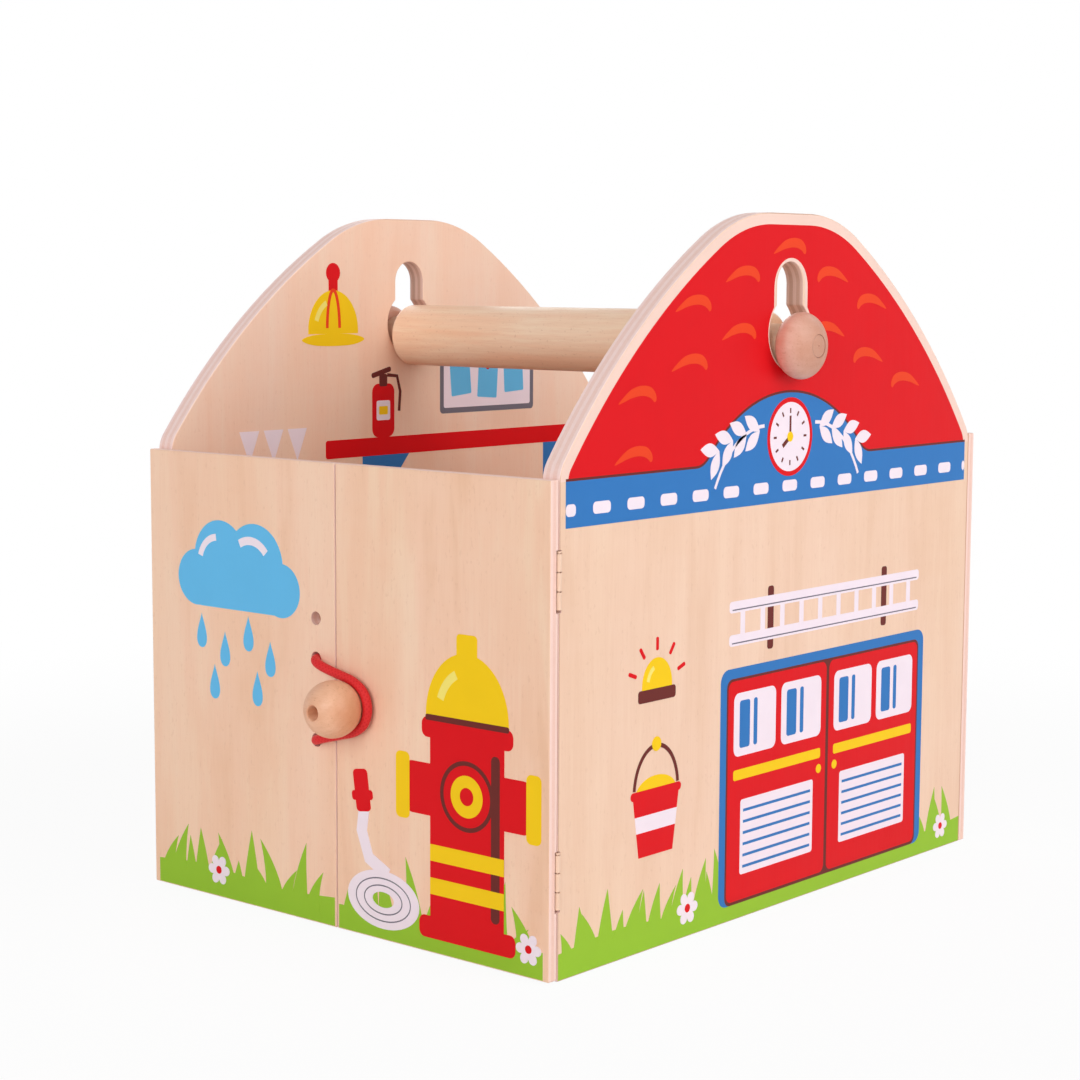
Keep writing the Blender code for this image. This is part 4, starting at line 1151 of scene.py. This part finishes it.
def woven_tube(name, node, path, radius, sides, middle, closed=False):
    """Braided tube along a path on the left leaf, in place of a CAD node.

    At each point lies a circle square to the path, its start turned away from a middle. The UV map counts
    weave pitches along the tube and goes from 0 to 1 round it.
    """
    along = np.roll(path, -1, 0) - np.roll(path, 1, 0)
    if not closed:
        along[0], along[-1] = path[1] - path[0], path[-1] - path[-2]
    along = unit(along)
    outward = path - middle
    outward = unit(outward - along * np.sum(outward * along, axis=1, keepdims=True))
    aside = np.cross(along, outward)
    angle = np.linspace(0, 2 * np.pi, sides, endpoint=False)[None, :, None]
    vertices = path[:, None] + radius * (np.cos(angle) * outward[:, None] + np.sin(angle) * aside[:, None])
    faces = [face[::-1] for face in grid_quads(len(path), sides, closed)]
    if not closed:
        faces.append(list(range(sides))[::-1])
        faces.append([(len(path) - 1) * sides + side for side in range(sides)])
    tube = link_mesh(name, vertices.reshape(-1, 3), faces, True, ELASTIC, "left_door")

    run = run_along(path) / WEAVE_PITCH
    spread = []
    for face in faces:
        wraps = len(face) == 4 and any(corner % sides == sides - 1 for corner in face)
        for corner in face:
            row, side = divmod(corner, sides)
            spread += [run[row], 1.0 if wraps and side == 0 else side / sides]
    tube.data.uv_layers.new(name="along_and_around").data.foreach_set("uv", spread)
    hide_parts(node)
    return tube


def make_knot(level):
    """Overhand knot: a tube along a trefoil line, squeezed to its CAD solid's box."""
    low, high = corners(f"loop_knot_{level}")
    angle = np.linspace(0, 2 * np.pi, KNOT_POINTS, endpoint=False)
    trefoil = np.stack((
        (np.sin(angle) + 2 * np.sin(2 * angle)) / 3,
        -np.sin(3 * angle),
        (np.cos(angle) - 2 * np.cos(2 * angle)) / 3,
    ), axis=1)
    middle = (low + high) / 2
    path = trefoil * ((high - low) / 2 - KNOT_CORD_RADIUS) + middle
    name, node = f"tied_knot_{level}", f"loop_knot_{level}"
    return woven_tube(name, node, path, KNOT_CORD_RADIUS, KNOT_SIDES, middle, closed=True)


def make_elastic_loop():
    """Elastic cord hooked round the bead, and the two knots that stop it behind the left leaf."""
    path, length = smooth_cord_line(CORD_ROUTE, CORD_STEP)
    loop = woven_tube("elastic_cord", "elastic_loop", path, CORD_RADIUS, CORD_SIDES, LOOP_MIDDLE)
    knots = [make_knot("lower"), make_knot("upper")]


def make_handle():
    """Dowel with rounded shoulders, necks and spigots, and a turned knob on each spigot."""
    low, high = corners("handle_bar")
    place = (low + high) / 2
    reach, radius = (high - low)[[0, 2]] / 2
    neck, spigot, bevel, end_rise, end_length = MM * np.array((6.7, 3.6, 0.3, 3.0, 2.2))
    shoulder, collar = RIGHT_INSIDE - bevel, RIGHT_OUTSIDE
    turn = np.linspace(0, np.pi / 2, 12)
    rounding = (shoulder - end_length * (1 - np.sin(turn)), radius - end_rise * (1 - np.cos(turn)))
    right = np.concatenate((
        np.stack(rounding, axis=1),
        (
            (shoulder, neck + bevel),
            (shoulder + bevel, neck),
            (collar - bevel, neck),
            (collar, neck - bevel),
            (collar, spigot),
        ),
        (reach, spigot) + MM * np.array(((-0.4, 0.0), (-0.1, -0.15), (0.0, -0.4))),
        (reach, 0.0) + MM * np.array(((0.0, 0.45), (-0.25, 0.3), (-0.3, 0.0))),
    ))
    profile = np.concatenate((right[::-1] * (-1, 1), right))
    turned_piece("carrying_dowel", "handle_bar", profile, place, (1, 0, 0), BEECH, "handle")

    belly, axis_length, bore = 4.2 * MM, 7.0 * MM, spigot + 0.08 * MM
    for side, sign in (("left", -1), ("right", 1)):
        low, high = corners(f"handle_knob_{side}")
        along = (high[0] - low[0]) * (1 - np.cos(np.linspace(0, np.pi, 40))) / 2
        ball = (high[2] - low[2]) / 2 * np.sqrt(1 - ((along - belly) / axis_length) ** 2)
        profile = np.concatenate((((0.0, bore),), np.stack((along, ball), axis=1), ((along[-1], bore),)))
        start = (low[0] if sign > 0 else high[0], place[1], place[2])
        name, node = f"turned_knob_{side}", f"handle_knob_{side}"
        turned_piece(name, node, profile, start, (sign, 0, 0), KNOB_BEECH, "handle")


def make_bead():
    """Drilled ball: a sphere's arc from the screw hole round to a softened mouth, and the bore behind it."""
    low, high = corners("door_bead")
    radius = (high[2] - low[2]) / 2
    mouth, soft, screw_hole, depth = 2.2 * MM, 0.45 * MM, 1.4 * MM, 9.5 * MM
    lip = mouth + soft
    front, rear = np.sqrt(radius**2 - mouth**2), np.sqrt(radius**2 - screw_hole**2)
    centre = ((low[0] + high[0]) / 2, high[1] - rear, (low[2] + high[2]) / 2)
    angle = np.linspace(np.arctan2(-rear, screw_hole), np.arctan2(np.sqrt(radius**2 - lip**2), lip), 48)
    turn = np.linspace(0.25, 1.0, 5)
    profile = np.concatenate((
        np.stack((radius * np.sin(angle), radius * np.cos(angle)), axis=1),
        np.stack((front - soft * turn**1.5, mouth + soft * (1 - turn)), axis=1),
        ((front - depth, mouth), (front - depth, screw_hole)),
    ))
    turned_piece("closing_bead", "door_bead", profile, centre, (0, -1, 0), BEAD_BEECH, "right_door")


def dress(name, material):
    """Give a CAD node one material in place of its own."""
    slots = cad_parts[name].data.materials
    slots.clear()
    slots.append(material)


def dress_nodes():
    """Give every CAD node that stays its own finish."""
    thick, thin = (5, GABLE_TINT, GABLE_EDGE_TINT), (3, DOOR_TINT, DOOR_EDGE_TINT)
    upright, lying = (0, 0, 0), (np.pi / 2, 0, 0)
    panels = (
        # node, thin axis, plies and tints of faces and edges, painted seam shade, flame, offset and turn of
        # the grain
        ("left_gable", 0, (5, LEFT_GABLE_LIT_TINT, GABLE_EDGE_TINT), 0.55, 0.12, (0.31, 0.10, 0.02), upright),
        ("right_gable", 0, thick, 0.90, 0.16, (0.0, 0.0, 0.0), upright),
        ("left_door", 1, thin, 0.10, 0.22, (0.12, 0.40, 0.15), upright),
        ("right_door", 1, thin, 0.10, 0.42, (0.57, 0.23, 0.07), upright),
        ("back_panel", 1, thin, 0.30, 0.30, (0.21, 0.71, 0.33), upright),
        ("base_board", 2, thick, 0.30, 0.30, (0.83, 0.17, 0.41), lying),
    )
    for name, thin_axis, board, *figure in panels:
        dress(name, plywood(f"{name}_plywood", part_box(name), thin_axis, *board, *figure))
    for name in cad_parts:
        if name.startswith("base_dowel"):
            dress(name, BEECH)
        elif name.startswith("brad") or name == "bead_screw":
            dress(name, STEEL)
        elif name.startswith("hinge"):
            dress(name, HINGE)


def add_lamps():
    """Square area lamps, each with its Z axis pointing back from what it is aimed at."""
    for name, place, aim, size, power in LAMPS:
        data = bpy.data.lights.new(name, "AREA")
        data.size = size
        data.energy = power
        backward = unit(np.array(place) - aim)
        across = unit(np.cross(UP, backward))
        add_object(name, data, across, np.cross(backward, across), backward, place)


def seen_directly(shader):
    """1 for rays of the camera, of gloss and of glass, and 0 for the light on the object."""
    rays = shader.add("ShaderNodeLightPath").outputs
    seen = shader.math("MAXIMUM", rays["Is Camera Ray"], rays["Is Glossy Ray"])
    return shader.math("MAXIMUM", seen, rays["Is Transmission Ray"])


def set_world():
    """White studio: plain white where it is seen, and dimmer as light on the object."""
    world = bpy.data.worlds.new("white_studio")
    world.use_nodes = True
    bpy.context.scene.world = world
    shader = Shader(world.node_tree)
    background = world.node_tree.nodes["Background"]
    background.inputs["Color"].default_value = (1, 1, 1, 1)
    strength = shader.ranged(seen_directly(shader), 0.0, 1.0, WORLD_STRENGTH, BACKDROP_STRENGTH, "LINEAR")
    shader.join(background.inputs["Strength"], strength)


def add_floor():
    """Wide white floor: mostly white to the camera, so that the object's shadow on it stays faint."""
    shader = Finish("studio_floor_white")
    material = shader.done(Base_Color=(0.9, 0.9, 0.9, 1), Roughness=0.9, Specular_IOR_Level=0.0)
    glow = shader.add("ShaderNodeEmission", Color=(1, 1, 1, 1), Strength=BACKDROP_STRENGTH).outputs[0]
    away = shader.add("ShaderNodeVectorMath", {"operation": "LENGTH"}, _0=shader.where()).outputs["Value"]
    white = shader.ranged(away, *FLOOR_SHADOW_REACH, FLOOR_WHITE_SHARE, 1.0)
    share = shader.times(seen_directly(shader), white)
    both = shader.add("ShaderNodeMixShader", _0=share, _1=shader.surface.outputs[0], _2=glow).outputs[0]
    shader.join(shader.tree.nodes["Material Output"].inputs["Surface"], both)

    mesh = bpy.data.meshes.new("studio_floor")
    half = FLOOR_SIZE / 2
    mesh.from_pydata(np.pad(tile(-half, half, -half, half), ((0, 0), (0, 1))).tolist(), [], [(0, 1, 2, 3)])
    mesh.materials.append(material)
    floor = add_object("studio_floor", mesh)
    floor.location.z = -FLOOR_DROP


bpy.context.scene.view_settings.view_transform = "Standard"
add_camera()
WOOD_FIGURE = make_wood_figure()
PLY_EDGE = make_ply_edge()
ELASTIC = elastic_weave()
SPIGOT_TINT = np.array(KNOB_TINT) / np.array(DOWEL_TINT)
BEECH = turned_wood("turned_beech_finish", (0.004, 0.006, 0.0), DOWEL_TINT, RIGHT_OUTSIDE + MM, SPIGOT_TINT)
KNOB_BEECH = turned_wood("knob_beech_finish", (0.004, 0.006, 0.0), KNOB_TINT)
BEAD_BEECH = turned_wood("bead_beech_finish", (0.011, 0.003, 0.0), BEAD_TINT)
HINGE = hinge_enamel()
STEEL = plated_steel()
INK_MATERIALS = {name: printing_ink(name, colour) for name, colour in INKS.items()}
make_elastic_loop()
make_handle()
make_bead()
dress_nodes()
print_panels()
add_lamps()
set_world()
add_floor()
